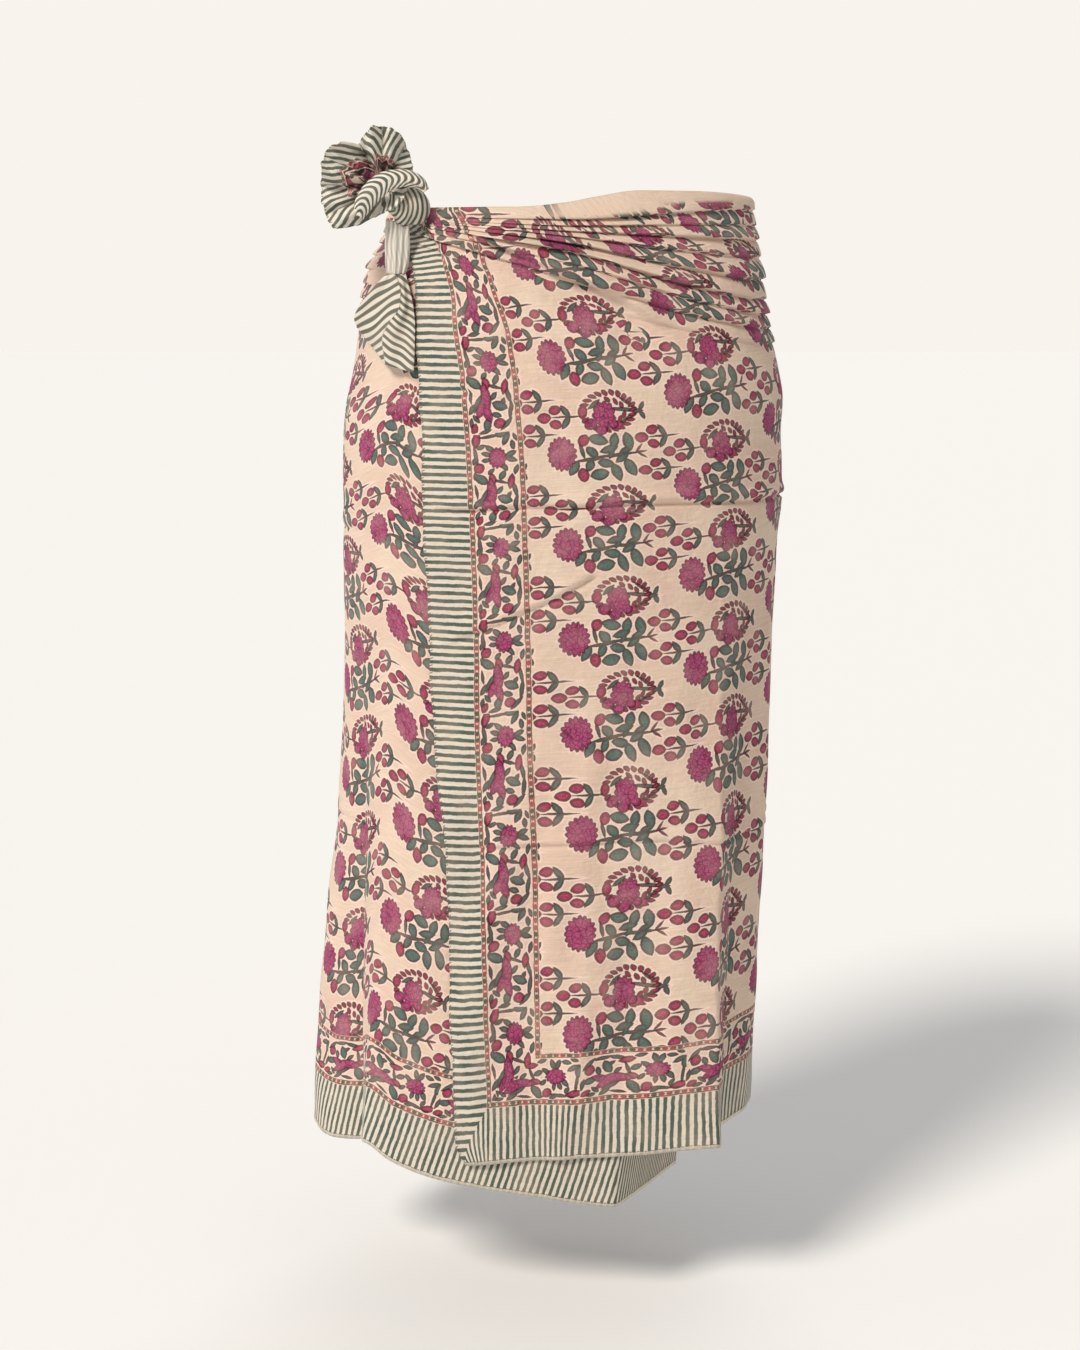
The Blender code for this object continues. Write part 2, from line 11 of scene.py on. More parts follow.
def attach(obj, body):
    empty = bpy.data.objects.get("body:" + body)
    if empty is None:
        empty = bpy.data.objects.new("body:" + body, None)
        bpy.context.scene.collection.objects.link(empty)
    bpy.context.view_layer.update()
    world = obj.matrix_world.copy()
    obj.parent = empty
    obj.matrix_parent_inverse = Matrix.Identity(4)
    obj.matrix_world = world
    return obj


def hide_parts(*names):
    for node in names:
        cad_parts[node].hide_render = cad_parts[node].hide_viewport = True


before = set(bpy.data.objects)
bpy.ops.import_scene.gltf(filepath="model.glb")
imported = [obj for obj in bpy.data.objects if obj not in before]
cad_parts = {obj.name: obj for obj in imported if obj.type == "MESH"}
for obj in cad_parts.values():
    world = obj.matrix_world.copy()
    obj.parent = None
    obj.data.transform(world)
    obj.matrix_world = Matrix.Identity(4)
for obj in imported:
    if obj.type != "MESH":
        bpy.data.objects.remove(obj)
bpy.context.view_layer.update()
print("frame loaded")


# small helpers

def tableOf(names, *rows):
    return dict(zip(names.split(), np.array(rows, float).T))


def readTable(table, key, column, values, closed=False):
    # a smooth curve through one column of a table, without overshoot between its rows
    places, amounts = table[key], table[column]
    if places[0] > places[-1]:
        places, amounts = places[::-1], amounts[::-1]
    if closed:
        values = (values - places[0]) % 360.0 + places[0]
        places, amounts = np.append(places, places[0] + 360.0), np.append(amounts, amounts[0])
    values = np.clip(values, places[0], places[-1])
    gaps = np.diff(places)
    secants = np.diff(amounts) / gaps
    rising = secants[:-1] * secants[1:] > 0.0
    total = np.where(rising, secants[:-1] + secants[1:], 1.0)
    slopes = np.zeros(len(places))
    slopes[1:-1] = np.where(rising, 2.0 * secants[:-1] * secants[1:] / total, 0.0)
    if not closed:
        slopes[0], slopes[-1] = secants[0], secants[-1]
    at = np.clip(np.searchsorted(places, values, side="right") - 1, 0, len(gaps) - 1)
    t = (values - places[at]) / gaps[at]
    level = (2 * t ** 3 - 3 * t ** 2 + 1) * amounts[at] + (3 * t ** 2 - 2 * t ** 3) * amounts[at + 1]
    lean = (t ** 3 - 2 * t ** 2 + t) * slopes[at] + (t ** 3 - t ** 2) * slopes[at + 1]
    return level + lean * gaps[at]


def smoothStep(value):
    value = np.clip(value, 0.0, 1.0)
    return value * value * (3.0 - 2.0 * value)


def spread(stations):
    # places from the first station on, in the given number of even steps to each later one
    places = [stations[0]]
    for place, steps in stations[1:]:
        places.extend(np.linspace(places[-1], place, steps + 1)[1:])
    return np.array(places)


# the form that the cloth is wound on, the same as the solids'

woundForm = {
    "sections": tableOf(
        "height halfWidth middle front back square",
        (0.020, 0.1735, 0.000, 0.113, 0.117, 2.15),
        (-0.024, 0.1815, -0.002, 0.122, 0.127, 2.15),
        (-0.050, 0.1905, -0.0070, 0.130, 0.137, 2.20),
        (-0.090, 0.1975, -0.0085, 0.141, 0.152, 2.25),
        (-0.120, 0.2020, -0.0070, 0.147, 0.160, 2.30),
        (-0.150, 0.2075, -0.0060, 0.152, 0.166, 2.30),
        (-0.185, 0.2135, -0.0080, 0.156, 0.169, 2.30),
        (-0.215, 0.2155, -0.0090, 0.158, 0.170, 2.30),
        (-0.300, 0.2148, -0.0105, 0.159, 0.164, 2.30),
        (-0.420, 0.2130, -0.013, 0.156, 0.154, 2.30),
        (-0.560, 0.2155, -0.018, 0.154, 0.150, 2.30),
        (-0.700, 0.2190, -0.028, 0.154, 0.150, 2.30),
        (-0.960, 0.2255, -0.044, 0.156, 0.154, 2.30)),
    # folds that run down the cloth and open towards the hem
    "downFolds": [
        {"angle": 50.5, "rise": 0.041, "left": 50.0, "leftPower": 3.0, "right": 11.0, "rightPower": 1.0, "starts": -0.22},
        {"angle": -71.5, "rise": -0.040, "left": 19.0, "leftPower": 1.3, "right": 15.0, "rightPower": 1.0, "starts": -0.26},
        {"angle": 118.0, "rise": -0.014, "left": 15.0, "leftPower": 1.5, "right": 17.0, "rightPower": 1.4, "starts": -0.34},
        {"angle": 151.0, "rise": 0.015, "left": 16.0, "leftPower": 1.4, "right": 12.0, "rightPower": 1.2, "starts": -0.30},
        {"angle": 187.0, "rise": -0.011, "left": 13.0, "leftPower": 1.3, "right": 18.0, "rightPower": 1.5, "starts": -0.42},
        {"angle": 218.0, "rise": 0.017, "left": 15.0, "leftPower": 1.3, "right": 13.0, "rightPower": 1.3, "starts": -0.28},
        {"angle": 246.0, "rise": -0.013, "left": 14.0, "leftPower": 1.2, "right": 16.0, "rightPower": 1.5, "starts": -0.38},
    ],
    "foldFullHeight": -0.900,
}


def foldDepth(angles, heights):
    total = np.zeros(np.broadcast(angles, heights).shape)
    for fold in woundForm["downFolds"]:
        off = (angles - fold["angle"] + 180.0) % 360.0 - 180.0
        width = np.where(off < 0.0, fold["left"], fold["right"])
        power = np.where(off < 0.0, fold["leftPower"], fold["rightPower"])
        growth = np.maximum(0.0, (fold["starts"] - heights) / (fold["starts"] - woundForm["foldFullHeight"])) ** 1.3
        total += fold["rise"] * growth * np.maximum(0.0, 1.0 - np.abs(off) / width) ** power
    return total


def clothReach(angles, heights):
    # how far the wound cloth's outside stands from its section's middle
    sections = woundForm["sections"]
    halfWidth, front, back, square = (
        readTable(sections, "height", name, heights) for name in ("halfWidth", "front", "back", "square"))
    across, along = np.abs(np.sin(np.radians(angles))), np.cos(np.radians(angles))
    depth = np.where(along > 0.0, front, back)
    oval = ((across / halfWidth) ** square + (np.abs(along) / depth) ** square) ** (-1.0 / square)
    return oval + foldDepth(angles, heights)


def clothPlace(angles, heights, reach):
    turn = np.radians(angles)
    middle = readTable(woundForm["sections"], "height", "middle", heights)
    return np.stack([middle + reach * np.sin(turn), -reach * np.cos(turn), heights], axis=-1)


def angleAt(across, heights):
    # the angle on the front where the cloth stands at this place across
    low, high = np.full(np.shape(heights), -88.0), np.full(np.shape(heights), 89.0)
    for _ in range(26):
        middle = (low + high) / 2.0
        left = clothPlace(middle, heights, clothReach(middle, heights))[..., 0] < across
        low, high = np.where(left, middle, low), np.where(left, high, middle)
    return (low + high) / 2.0


# the gathers that fan out of the knot, and the edges of the cloth

gathers = {
    # heights and rises where each line starts at the knot, at the middle of the front, at the right hip,
    # at the middle of the back and at the knot's own hip; hidden is the cloth tucked under each line at the hip
    "stations": (-62.0, 0.0, 80.0, 180.0, 270.0),
    "heights": [
        (-0.004, -0.006, 0.006, 0.001, -0.006),
        (-0.006, -0.012, -0.009, -0.011, -0.016),
        (-0.007, -0.017, -0.022, -0.023, -0.026),
        (-0.008, -0.022, -0.038, -0.036, -0.037),
        (-0.010, -0.028, -0.059, -0.052, -0.050),
        (-0.012, -0.035, -0.079, -0.070, -0.064),
        (-0.015, -0.045, -0.093, -0.085, -0.078),
        (-0.019, -0.058, -0.106, -0.099, -0.092),
        (-0.026, -0.076, -0.121, -0.116, -0.108),
    ],
    "rises": [
        (0.0014, 0.0056, 0.0020, 0.0030, 0.0020),
        (0.0016, 0.0040, 0.0012, 0.0034, 0.0016),
        (0.0014, 0.0054, 0.0027, 0.0018, 0.0020),
        (0.0014, 0.0040, 0.0020, 0.0034, 0.0022),
        (0.0018, 0.0066, 0.0033, 0.0040, 0.0034),
        (0.0020, 0.0072, 0.0026, 0.0030, 0.0022),
        (0.0020, 0.0022, 0.0031, 0.0030, 0.0028),
        (0.0022, 0.0054, 0.0022, 0.0024, 0.0016),
        (0.0022, 0.0008, 0.0022, 0.0018, 0.0016),
    ],
    "hidden": (0.004, 0.012, 0.012, 0.014, 0.016, 0.014, 0.008, 0.008, 0.003),
    "underside": 0.19,     # the share of each pitch that is the fold's underside
    "groove": 0.75,        # how far the line under a lip cuts in, as a share of its rise
    "fullPitch": 0.008,    # a fold with less room than this is lower in step
    "footBelow": 0.012,    # where the lowest fold ends
    "bellyBelow": 0.023,
    "bellyLevel": -0.140,
}
levels = (-0.256, -0.276, -0.585, -0.600)
edges = {
    "free": tableOf(
        "height across",
        (0.010, -0.146), (-0.022, -0.156), (-0.056, -0.150), (-0.125, -0.145), (-0.278, -0.140), (-0.446, -0.133),
        (-0.526, -0.130), (-0.575, -0.121), (-0.651, -0.119), (-0.743, -0.117), (-0.884, -0.112), (-0.915, -0.100)),
    "top": tableOf(
        "angle height",
        (-66, 0.005), (-25, 0.005), (-3, 0.009), (10, 0.014), (30, 0.020), (50, 0.020), (90, 0.015), (135, 0.011),
        (180, 0.008), (225, 0.005), (270, 0.001)),
    "hem": tableOf(
        "angle height",
        (-27, -0.911), (-10, -0.905), (15, -0.901), (35, -0.897), (50.5, -0.891), (62, -0.889), (76, -0.886),
        (90, -0.893), (135, -0.903), (180, -0.898), (225, -0.905), (270, -0.915)),
    "underTop": tableOf("angle height", (-90, 0.001), (-62, -0.001), (0, -0.003), (75, -0.001)),
    "underHem": tableOf(
        "angle height",
        (-90, -0.915), (-80, -0.921), (-71.5, -0.917), (-56.5, -0.900), (-47, -0.914), (-30, -0.928), (0, -0.940),
        (29.5, -0.951), (72, -0.944)),
}

# rows of the mesh: how many steps between one anchor height and the next, finer in the folds
bandSteps, bellySteps, levelSteps = 6, 8, (34, 12, 104, 8, 74)
foldShares = (0.0, 0.04, 0.085, 0.13, 0.19, 0.28, 0.39, 0.51, 0.63, 0.75, 0.86, 0.94)


def stationTable(values):
    return {"angle": np.array(gathers["stations"]), "value": np.array(values, float)}


def anchorHeights(angles, gatherAngles, topEdge, hem):
    lines = [readTable(stationTable(row), "angle", "value", gatherAngles) for row in gathers["heights"]]
    anchors = [readTable(topEdge, "angle", "height", angles)] + lines
    anchors.append(lines[-1] - gathers["footBelow"])
    anchors.append(np.maximum(gathers["bellyLevel"], lines[-1] - gathers["bellyBelow"]))
    anchors.extend(np.full(np.shape(angles), level) for level in levels)
    anchors.append(readTable(hem, "angle", "height", angles))
    return np.stack(anchors)


def meshRows():
    # each row as the anchor above it and its share of the way to the next
    lineCount = len(gathers["heights"])
    rows = [(0, step / bandSteps) for step in range(bandSteps)]
    for line in range(1, lineCount):
        rows.extend((line, share) for share in foldShares)
    rows.extend((lineCount, step / bellySteps) for step in range(bellySteps))
    rows.extend((lineCount + 1, step / bellySteps) for step in range(bellySteps))
    for number, steps in enumerate(levelSteps):
        rows.extend((lineCount + 2 + number, step / steps) for step in range(steps))
    rows.append((lineCount + 1 + len(levelSteps), 1.0))
    return np.array([row[0] for row in rows]), np.array([row[1] for row in rows])


rowAnchors, rowShares = meshRows()


def rowHeights(angles, gatherAngles, topEdge, hem):
    # angles is a grid of columns by rows
    anchors = anchorHeights(angles, gatherAngles, topEdge, hem)
    numbers = np.arange(angles.shape[1])
    above = anchors[rowAnchors, :, numbers].T
    below = anchors[rowAnchors + 1, :, numbers].T
    return above + (below - above) * rowShares


def gatherRelief(angles, gatherAngles):
    # how proud each row stands, and the cloth hidden in the folds below it
    lineCount = len(gathers["heights"])
    heights = np.stack([readTable(stationTable(row), "angle", "value", gatherAngles) for row in gathers["heights"]])
    pitch = np.vstack([heights[:-1] - heights[1:], heights[-2:-1] - heights[-1:]])
    rises = np.stack([readTable(stationTable(row), "angle", "value", gatherAngles) for row in gathers["rises"]])
    uneven = np.stack([
        1.0 + 0.22 * np.sin(np.radians(gatherAngles) * (2.3 + 0.7 * line) + 1.9 * line)
        + 0.12 * np.sin(np.radians(gatherAngles) * (6.1 - 0.4 * line) + 0.8 * line) for line in range(lineCount)])
    lips = rises * uneven * np.minimum(1.0, pitch / gathers["fullPitch"])
    proud = np.zeros(angles.shape)
    hidden = np.zeros(angles.shape)
    ramp = smoothStep((gatherAngles + 28.0) / 60.0) * (1.0 - 0.5 * smoothStep((gatherAngles - 190.0) / 70.0))
    for row in range(angles.shape[1]):
        line, share = int(rowAnchors[row]) - 1, rowShares[row]
        under = min(1.0, share / gathers["underside"])
        for number, amount in enumerate(gathers["hidden"]):
            kept = 1.0 if number > line else (1.0 - under if number == line else 0.0)
            hidden[:, row] += amount * kept * ramp[:, row]
        if line < 0:
            # the band above the gathers, its turned top rolled a little outwards
            proud[:, row] = lips[0, :, row] * share ** 2 + 0.0016 * math.sin(math.pi * min(1.0, share * 1.15))
        elif line < lineCount:
            valley = -0.25 * lips[line, :, row]
            ahead = lips[line + 1, :, row] if line + 1 < lineCount else 0.0
            if share <= gathers["underside"]:
                drop = math.cos(math.pi / 2 * share / gathers["underside"])
                proud[:, row] = valley + (lips[line, :, row] - valley) * drop
            else:
                climb = math.sin(math.pi / 2 * (share - gathers["underside"]) / (1.0 - gathers["underside"]))
                proud[:, row] = valley + (ahead - valley) * climb
            proud[:, row] -= gathers["groove"] * lips[line, :, row] * math.exp(-((share - 0.14) / 0.060) ** 2)
    return proud, hidden


# creases, each listed: (angle, height) points, how wide and how proud, and its profile

arcPerDegree = 0.0036
creases = [  # (angle, height) points, the width and the rise in metres
    # the two creases pressed when the cloth lay folded, which run right round it
    {"points": [(-44, -.2745), (-27, -.2740), (-12, -.2700), (4, -.2710), (20, -.2675), (35, -.2670), (60, -.2680), (100, -.270), (150, -.267), (200, -.271), (270, -.269)], "width": .0055, "rise": .0021, "kind": "pressed"},
    {"points": [(-90, -.2985), (-62, -.3014), (-48, -.2980)], "width": .0065, "rise": .0012, "kind": "pressed"},
    {"points": [(-36, -.5965), (3, -.5915), (34, -.5885), (52, -.5950), (95, -.593), (150, -.589), (210, -.594), (270, -.590)], "width": .0050, "rise": .0014, "kind": "pressed"},
    {"points": [(-90, -.588), (-60, -.592), (-34, -.597)], "width": .0055, "rise": .0011, "kind": "pressed"},
    {"points": [(-4, -.2622), (30, -.2602), (63, -.2625), (88, -.2640)], "width": .0050, "rise": .0013, "kind": "soft"},
    # pulls across the front panel
    {"points": [(-36, -.4001), (-18, -.3766), (0, -.3536), (12, -.3335)], "width": .0060, "rise": .0020, "kind": "pressed"},
    {"points": [(-43, -.1590), (-32, -.1657), (-20, -.1736), (-8, -.1834), (-1, -.1895)], "width": .0048, "rise": .0019, "kind": "pressed"},
    {"points": [(-31, -.7985), (-15, -.8155)], "width": .0055, "rise": .0013, "kind": "pressed"},
    # the long soft fold that leaves the knot and fades over the hip
    {"points": [(-46, -.0165), (-40, -.0200), (-23, -.0328), (-7, -.0483), (8, -.0612), (21, -.0774), (29, -.0935), (38, -.112)], "width": .0125, "rise": .0108, "kind": "lip"},
    {"points": [(-34, -.0390), (-14, -.0580), (4, -.0760), (18, -.0960), (30, -.1200), (40, -.1400)], "width": .0150, "rise": -.0052, "kind": "soft"},
    {"points": [(-30, -.052), (-12, -.078), (4, -.103), (16, -.128)], "width": .0170, "rise": .0022, "kind": "soft"},
    {"points": [(20, -.135), (42, -.158), (66, -.172), (92, -.170)], "width": .0210, "rise": .0026, "kind": "soft"},
    {"points": [(38, -.196), (62, -.214), (96, -.208), (120, -.196)], "width": .0180, "rise": -.0018, "kind": "soft"},
    {"points": [(-38, -.118), (-20, -.148), (-4, -.206), (4, -.246)], "width": .0160, "rise": -.0012, "kind": "soft"},
    # the tight pull under the knot, along the striped edge
    {"points": [(-66, .000), (-57, -.016), (-49, -.0344), (-45, -.052)], "width": .0050, "rise": .0024, "kind": "lip"},
    {"points": [(-59, -.006), (-50, -.024), (-42, -.046), (-38, -.070)], "width": .0055, "rise": .0020, "kind": "soft"},
    {"points": [(-52, -.008), (-42, -.028), (-33, -.054)], "width": .0060, "rise": .0017, "kind": "soft"},
    # the left panel
    {"points": [(-56.5, -.155), (-60, -.250), (-61.5, -.352), (-60, -.560), (-57.3, -.736)], "width": .0130, "rise": -.0028, "kind": "soft"},
    {"points": [(-78, -.020), (-72, -.110), (-66, -.210), (-66, -.300)], "width": .0110, "rise": .0026, "kind": "soft"},
    {"points": [(-84, -.040), (-82, -.180), (-86, -.330)], "width": .0120, "rise": -.0022, "kind": "soft"},
    # long soft falls in the front panel
    {"points": [(-22, -.440), (-18, -.600), (-20, -.760), (-19, -.905)], "width": .0200, "rise": .0024, "kind": "soft"},
    {"points": [(-6, -.520), (-3, -.700), (-5, -.900)], "width": .0150, "rise": -.0022, "kind": "soft"},
    {"points": [(10, -.460), (15, -.640), (13, -.900)], "width": .0190, "rise": .0026, "kind": "soft"},
    {"points": [(27, -.620), (30, -.760), (28, -.897)], "width": .0140, "rise": -.0024, "kind": "soft"},
    {"points": [(38, -.350), (42, -.540), (41, -.890)], "width": .0130, "rise": .0016, "kind": "soft"},
    {"points": [(8, -.640), (24, -.655), (40, -.640)], "width": .0090, "rise": .0012, "kind": "soft"},
    {"points": [(-30, -.690), (-14, -.676), (2, -.690)], "width": .0100, "rise": -.0011, "kind": "soft"},
    {"points": [(-8, -.430), (14, -.446), (34, -.432)], "width": .0110, "rise": .0011, "kind": "soft"},
    # the right side, behind the sharp fold
    {"points": [(70, -.300), (74, -.520), (73, -.885)], "width": .0120, "rise": .0028, "kind": "soft"},
    {"points": [(84, -.250), (87, -.480), (84, -.700), (86, -.890)], "width": .0130, "rise": -.0026, "kind": "soft"},
    {"points": [(64, -.230), (82, -.262), (104, -.330)], "width": .0120, "rise": .0017, "kind": "soft"},
    # the back, creased as the front is
    {"points": [(104, -.150), (126, -.196), (150, -.255), (166, -.330)], "width": .0140, "rise": .0028, "kind": "soft"},
    {"points": [(258, -.140), (236, -.190), (214, -.252), (198, -.340)], "width": .0150, "rise": .0026, "kind": "soft"},
    {"points": [(140, -.142), (168, -.172), (196, -.168), (222, -.145)], "width": .0180, "rise": -.0024, "kind": "soft"},
    {"points": [(132, -.420), (156, -.398), (178, -.372)], "width": .0060, "rise": .0018, "kind": "pressed"},
    {"points": [(236, -.446), (214, -.462), (200, -.486)], "width": .0060, "rise": .0017, "kind": "pressed"},
    {"points": [(104, -.360), (101, -.600), (104, -.895)], "width": .0150, "rise": .0028, "kind": "soft"},
    {"points": [(134, -.460), (136, -.690), (133, -.900)], "width": .0160, "rise": -.0026, "kind": "soft"},
    {"points": [(168, -.520), (170, -.720), (167, -.900)], "width": .0150, "rise": .0024, "kind": "soft"},
    {"points": [(203, -.480), (201, -.700), (204, -.902)], "width": .0160, "rise": -.0024, "kind": "soft"},
    {"points": [(232, -.430), (234, -.640), (231, -.907)], "width": .0150, "rise": .0022, "kind": "soft"},
    {"points": [(262, -.300), (258, -.560), (262, -.910)], "width": .0140, "rise": -.0024, "kind": "soft"},
    {"points": [(118, -.780), (136, -.770), (152, -.786)], "width": .0080, "rise": .0013, "kind": "soft"},
    {"points": [(208, -.730), (224, -.744), (240, -.736)], "width": .0080, "rise": .0013, "kind": "soft"},
]


def foldRelief(folds, across, heights, perStep=1.0):
    # what a table of folds adds at each place; perStep turns a fold's first numbers to metres
    total = np.zeros(np.broadcast(across, heights).shape)
    for fold in folds:
        points = [(place * perStep, height) for place, height in fold["points"]]
        lengths = [math.dist(a, b) for a, b in zip(points, points[1:])]
        whole, before = sum(lengths), 0.0
        nearest, signed, taper = np.full(total.shape, 9.0), np.zeros(total.shape), np.zeros(total.shape)
        for (startX, startZ), (endX, endZ), length in zip(points, points[1:], lengths):
            wayX, wayZ = (endX - startX) / length, (endZ - startZ) / length
            offX, offZ = across - startX, heights - startZ
            along = np.clip(offX * wayX + offZ * wayZ, 0.0, length)
            gap = np.hypot(offX - along * wayX, offZ - along * wayZ)
            closer = gap < nearest
            share = (before + along) / whole
            ends = 0.03 if fold["kind"] == "pressed" else 0.18
            nearest = np.where(closer, gap, nearest)
            signed = np.where(closer, np.where(offZ * wayX - offX * wayZ < 0.0, -gap, gap), signed)
            taper = np.where(closer, smoothStep(share / ends) * smoothStep((1.0 - share) / ends), taper)
            before += length
        width = fold["width"]
        if fold["kind"] == "soft":
            shape = np.exp(-(nearest / width) ** 2)
        elif fold["kind"] == "pressed":
            # pressed flat once: a sharp groove under a low rounded ridge
            groove = np.maximum(0.0, 1.0 - nearest / (0.62 * width))
            shape = 0.9 * np.exp(-((signed - 1.1 * width) / width) ** 2) - 1.9 * groove
        else:
            # a lip: round above, cut back sharply below
            above = np.exp(-(signed / (1.9 * width)) ** 2)
            shape = np.where(signed >= 0.0, above, np.maximum(0.0, 1.0 + signed / (0.30 * width)))
        total += fold["rise"] * shape * taper
    return total


def bodyCreases(angles, heights):
    # the creases, some of which run on past where the angles start again
    total = foldRelief(creases, angles * arcPerDegree, heights, arcPerDegree)
    again = np.where(angles < 0.0, angles + 360.0, angles - 360.0)
    return total + foldRelief(creases, again * arcPerDegree, heights, arcPerDegree)


def softWaves(angles, heights):
    # the slow unevenness of worn cotton, a little stronger towards the hem
    across = angles * arcPerDegree
    waves = (
        0.0007 * np.sin(across * 47.0 + heights * 9.0 + 0.4) + 0.0006 * np.sin(across * 83.0 - heights * 17.0 + 2.1)
        + 0.0004 * np.sin(across * 29.0 + heights * 61.0 + 1.2) + 0.0003 * np.sin(across * 131.0 + heights * 43.0 + 4.0))
    return waves * (0.5 + 1.1 * smoothStep((-0.15 - heights) / 0.7)) * smoothStep((0.0 - heights) / 0.08)


# the three stretches of the wound sheet

wall = {"solidWall": 0.0018, "layerGap": 0.0032, "thickness": 0.0006}
outerStretch = {"columns": [(0.0, 46), (40.0, 30), (50.5, 13), (61.5, 14), (90.0, 27)]}
backStretch = {"columns": [(118.0, 20), (151.0, 23), (187.0, 24), (218.0, 23), (246.0, 20), (270.0, 17)]}
underStretch = {
    "columns": [(-71.5, 17), (-56.5, 14), (-30.0, 17), (29.5, 32), (50.5, 10), (71.0, 10)],
    "slipFrom": -84.0, "slipTo": -58.0,
    "foldBackAngle": 29.5, "foldBackFacing": 58.0, "foldBackReach": 0.154, "foldBackStarts": -0.20,
    "fullHeight": -0.900,
}
rowCount = len(rowAnchors)


def outerGrid():
    levelsDown = np.linspace(0.03, -0.93, 240)
    edgeAngles = angleAt(readTable(edges["free"], "height", "across", levelsDown), levelsDown)
    columns = 1 + sum(steps for _, steps in outerStretch["columns"])
    angles = np.zeros((columns, rowCount))
    for _ in range(5):
        heights = rowHeights(angles, angles, edges["top"], edges["hem"])
        starts = np.interp(-heights, -levelsDown, edgeAngles)
        shares = spread([0.0] + outerStretch["columns"])
        first = outerStretch["columns"][0][1]
        for column in range(columns):
            if column <= first:
                angles[column] = starts[column] * (1.0 - column / first)
            else:
                angles[column] = shares[column]
    return angles, rowHeights(angles, angles, edges["top"], edges["hem"])


printColumns = [
    # where the print's own upright lines lie on the front: millimetres from the free edge, and angles at heights
    {"along": 46.8, "line": tableOf(
        "height angle", (0.020, -66.0), (-0.0064, -62.0), (-0.0148, -59.7), (-0.0307, -50.9), (-0.0638, -42.6), (-0.0802, -40.1),
        (-0.1112, -37.7), (-0.1612, -33.7), (-0.216, -30.8), (-0.3081, -28.7), (-0.509, -26.4),
        (-0.6444, -22.2), (-0.6993, -20.2), (-0.7823, -17.7), (-0.842, -15.8), (-0.930, -13.6))},
    {"along": 96.5, "line": tableOf(
        "height angle", (0.020, -53.0), (-0.0005, -47.6), (-0.0226, -40.6), (-0.0419, -33.6), (-0.0638, -28.2), (-0.0801, -25.0),
        (-0.1024, -21.2), (-0.1472, -18.2), (-0.2155, -14.1), (-0.3074, -12.2), (-0.5079, -9.1),
        (-0.6435, -4.5), (-0.6984, -2.6), (-0.7816, -0.1), (-0.842, 1.7), (-0.930, 4.0))},
    {"along": 134.5, "line": tableOf(
        "height angle", (0.020, -29.0), (-0.0429, -17.6), (-0.1308, -5.5), (-0.2218, -0.6), (-0.2994, 1.9), (-0.3885, 5.1),
        (-0.4867, 7.3), (-0.5803, 10.6), (-0.6789, 12.4), (-0.7748, 13.6))},
    {"along": 247.5, "line": tableOf(
        "height angle", (0.020, 6.0), (-0.0337, 19.7), (-0.0838, 34.3), (-0.1705, 36.3), (-0.2612, 40.0), (-0.3419, 41.5),
        (-0.439, 43.5), (-0.5353, 45.2), (-0.6277, 47.4), (-0.7205, 47.8))},
    {"along": 360.5, "line": tableOf("height angle", (0.020, 40.0), (-0.0224, 51.2), (-0.0611, 64.2), (-0.1163, 67.2)), "fades": -0.150},
]
printHeights = tableOf(
    # the height of the cloth against the height on its print, which stretches and shrinks as the cloth was pulled
    "height printed",
    (0.060, 0.9590), (0.020, 0.9170), (-0.0429, 0.8504), (-0.1308, 0.7581), (-0.2200, 0.6658), (-0.3040, 0.5735), (-0.3932, 0.4812),
    (-0.4838, 0.3889), (-0.5803, 0.2966), (-0.6779, 0.2043), (-0.7768, 0.1120), (-0.903, 0.0), (-0.951, -0.0426))


def clothAlong(angles, heights, first):
    # the length of cloth from the free edge to each column
    plain = clothPlace(angles, heights, clothReach(angles, heights))
    steps = np.linalg.norm(np.diff(plain[..., :2], axis=0), axis=-1)
    return first + np.vstack([np.zeros((1, angles.shape[1])), np.cumsum(steps, axis=0)])


def drawnAlong(angles, heights):
    # the same on the front, moved so that the print's lines lie where the knot draws them
    plain = clothAlong(angles, heights, 0.0)
    moved = plain.copy()
    for row in range(angles.shape[1]):
        places, shifts = [0.0], [0.0]
        for line in printColumns:
            past = angles[:, row] - readTable(line["line"], "height", "angle", heights[:, row])
            place = np.interp(0.0, past, plain[:, row])
            shift = line["along"] / 1000.0 - place
            if "fades" in line:
                kept = float(smoothStep((heights[-1, row] - line["fades"]) / 0.05))
                shift = kept * shift + (1.0 - kept) * shifts[-1]
            places.append(place)
            shifts.append(shift)
        moved[:, row] += np.interp(plain[:, row], places, shifts)
    return moved


def printedUp(angles, heights, hemTable, hiddenCloth):
    # the height on the print, with the cloth tucked into the folds below
    hem = readTable(hemTable, "angle", "height", angles)
    return readTable(printHeights, "height", "printed", heights - hem - 0.903) + hiddenCloth


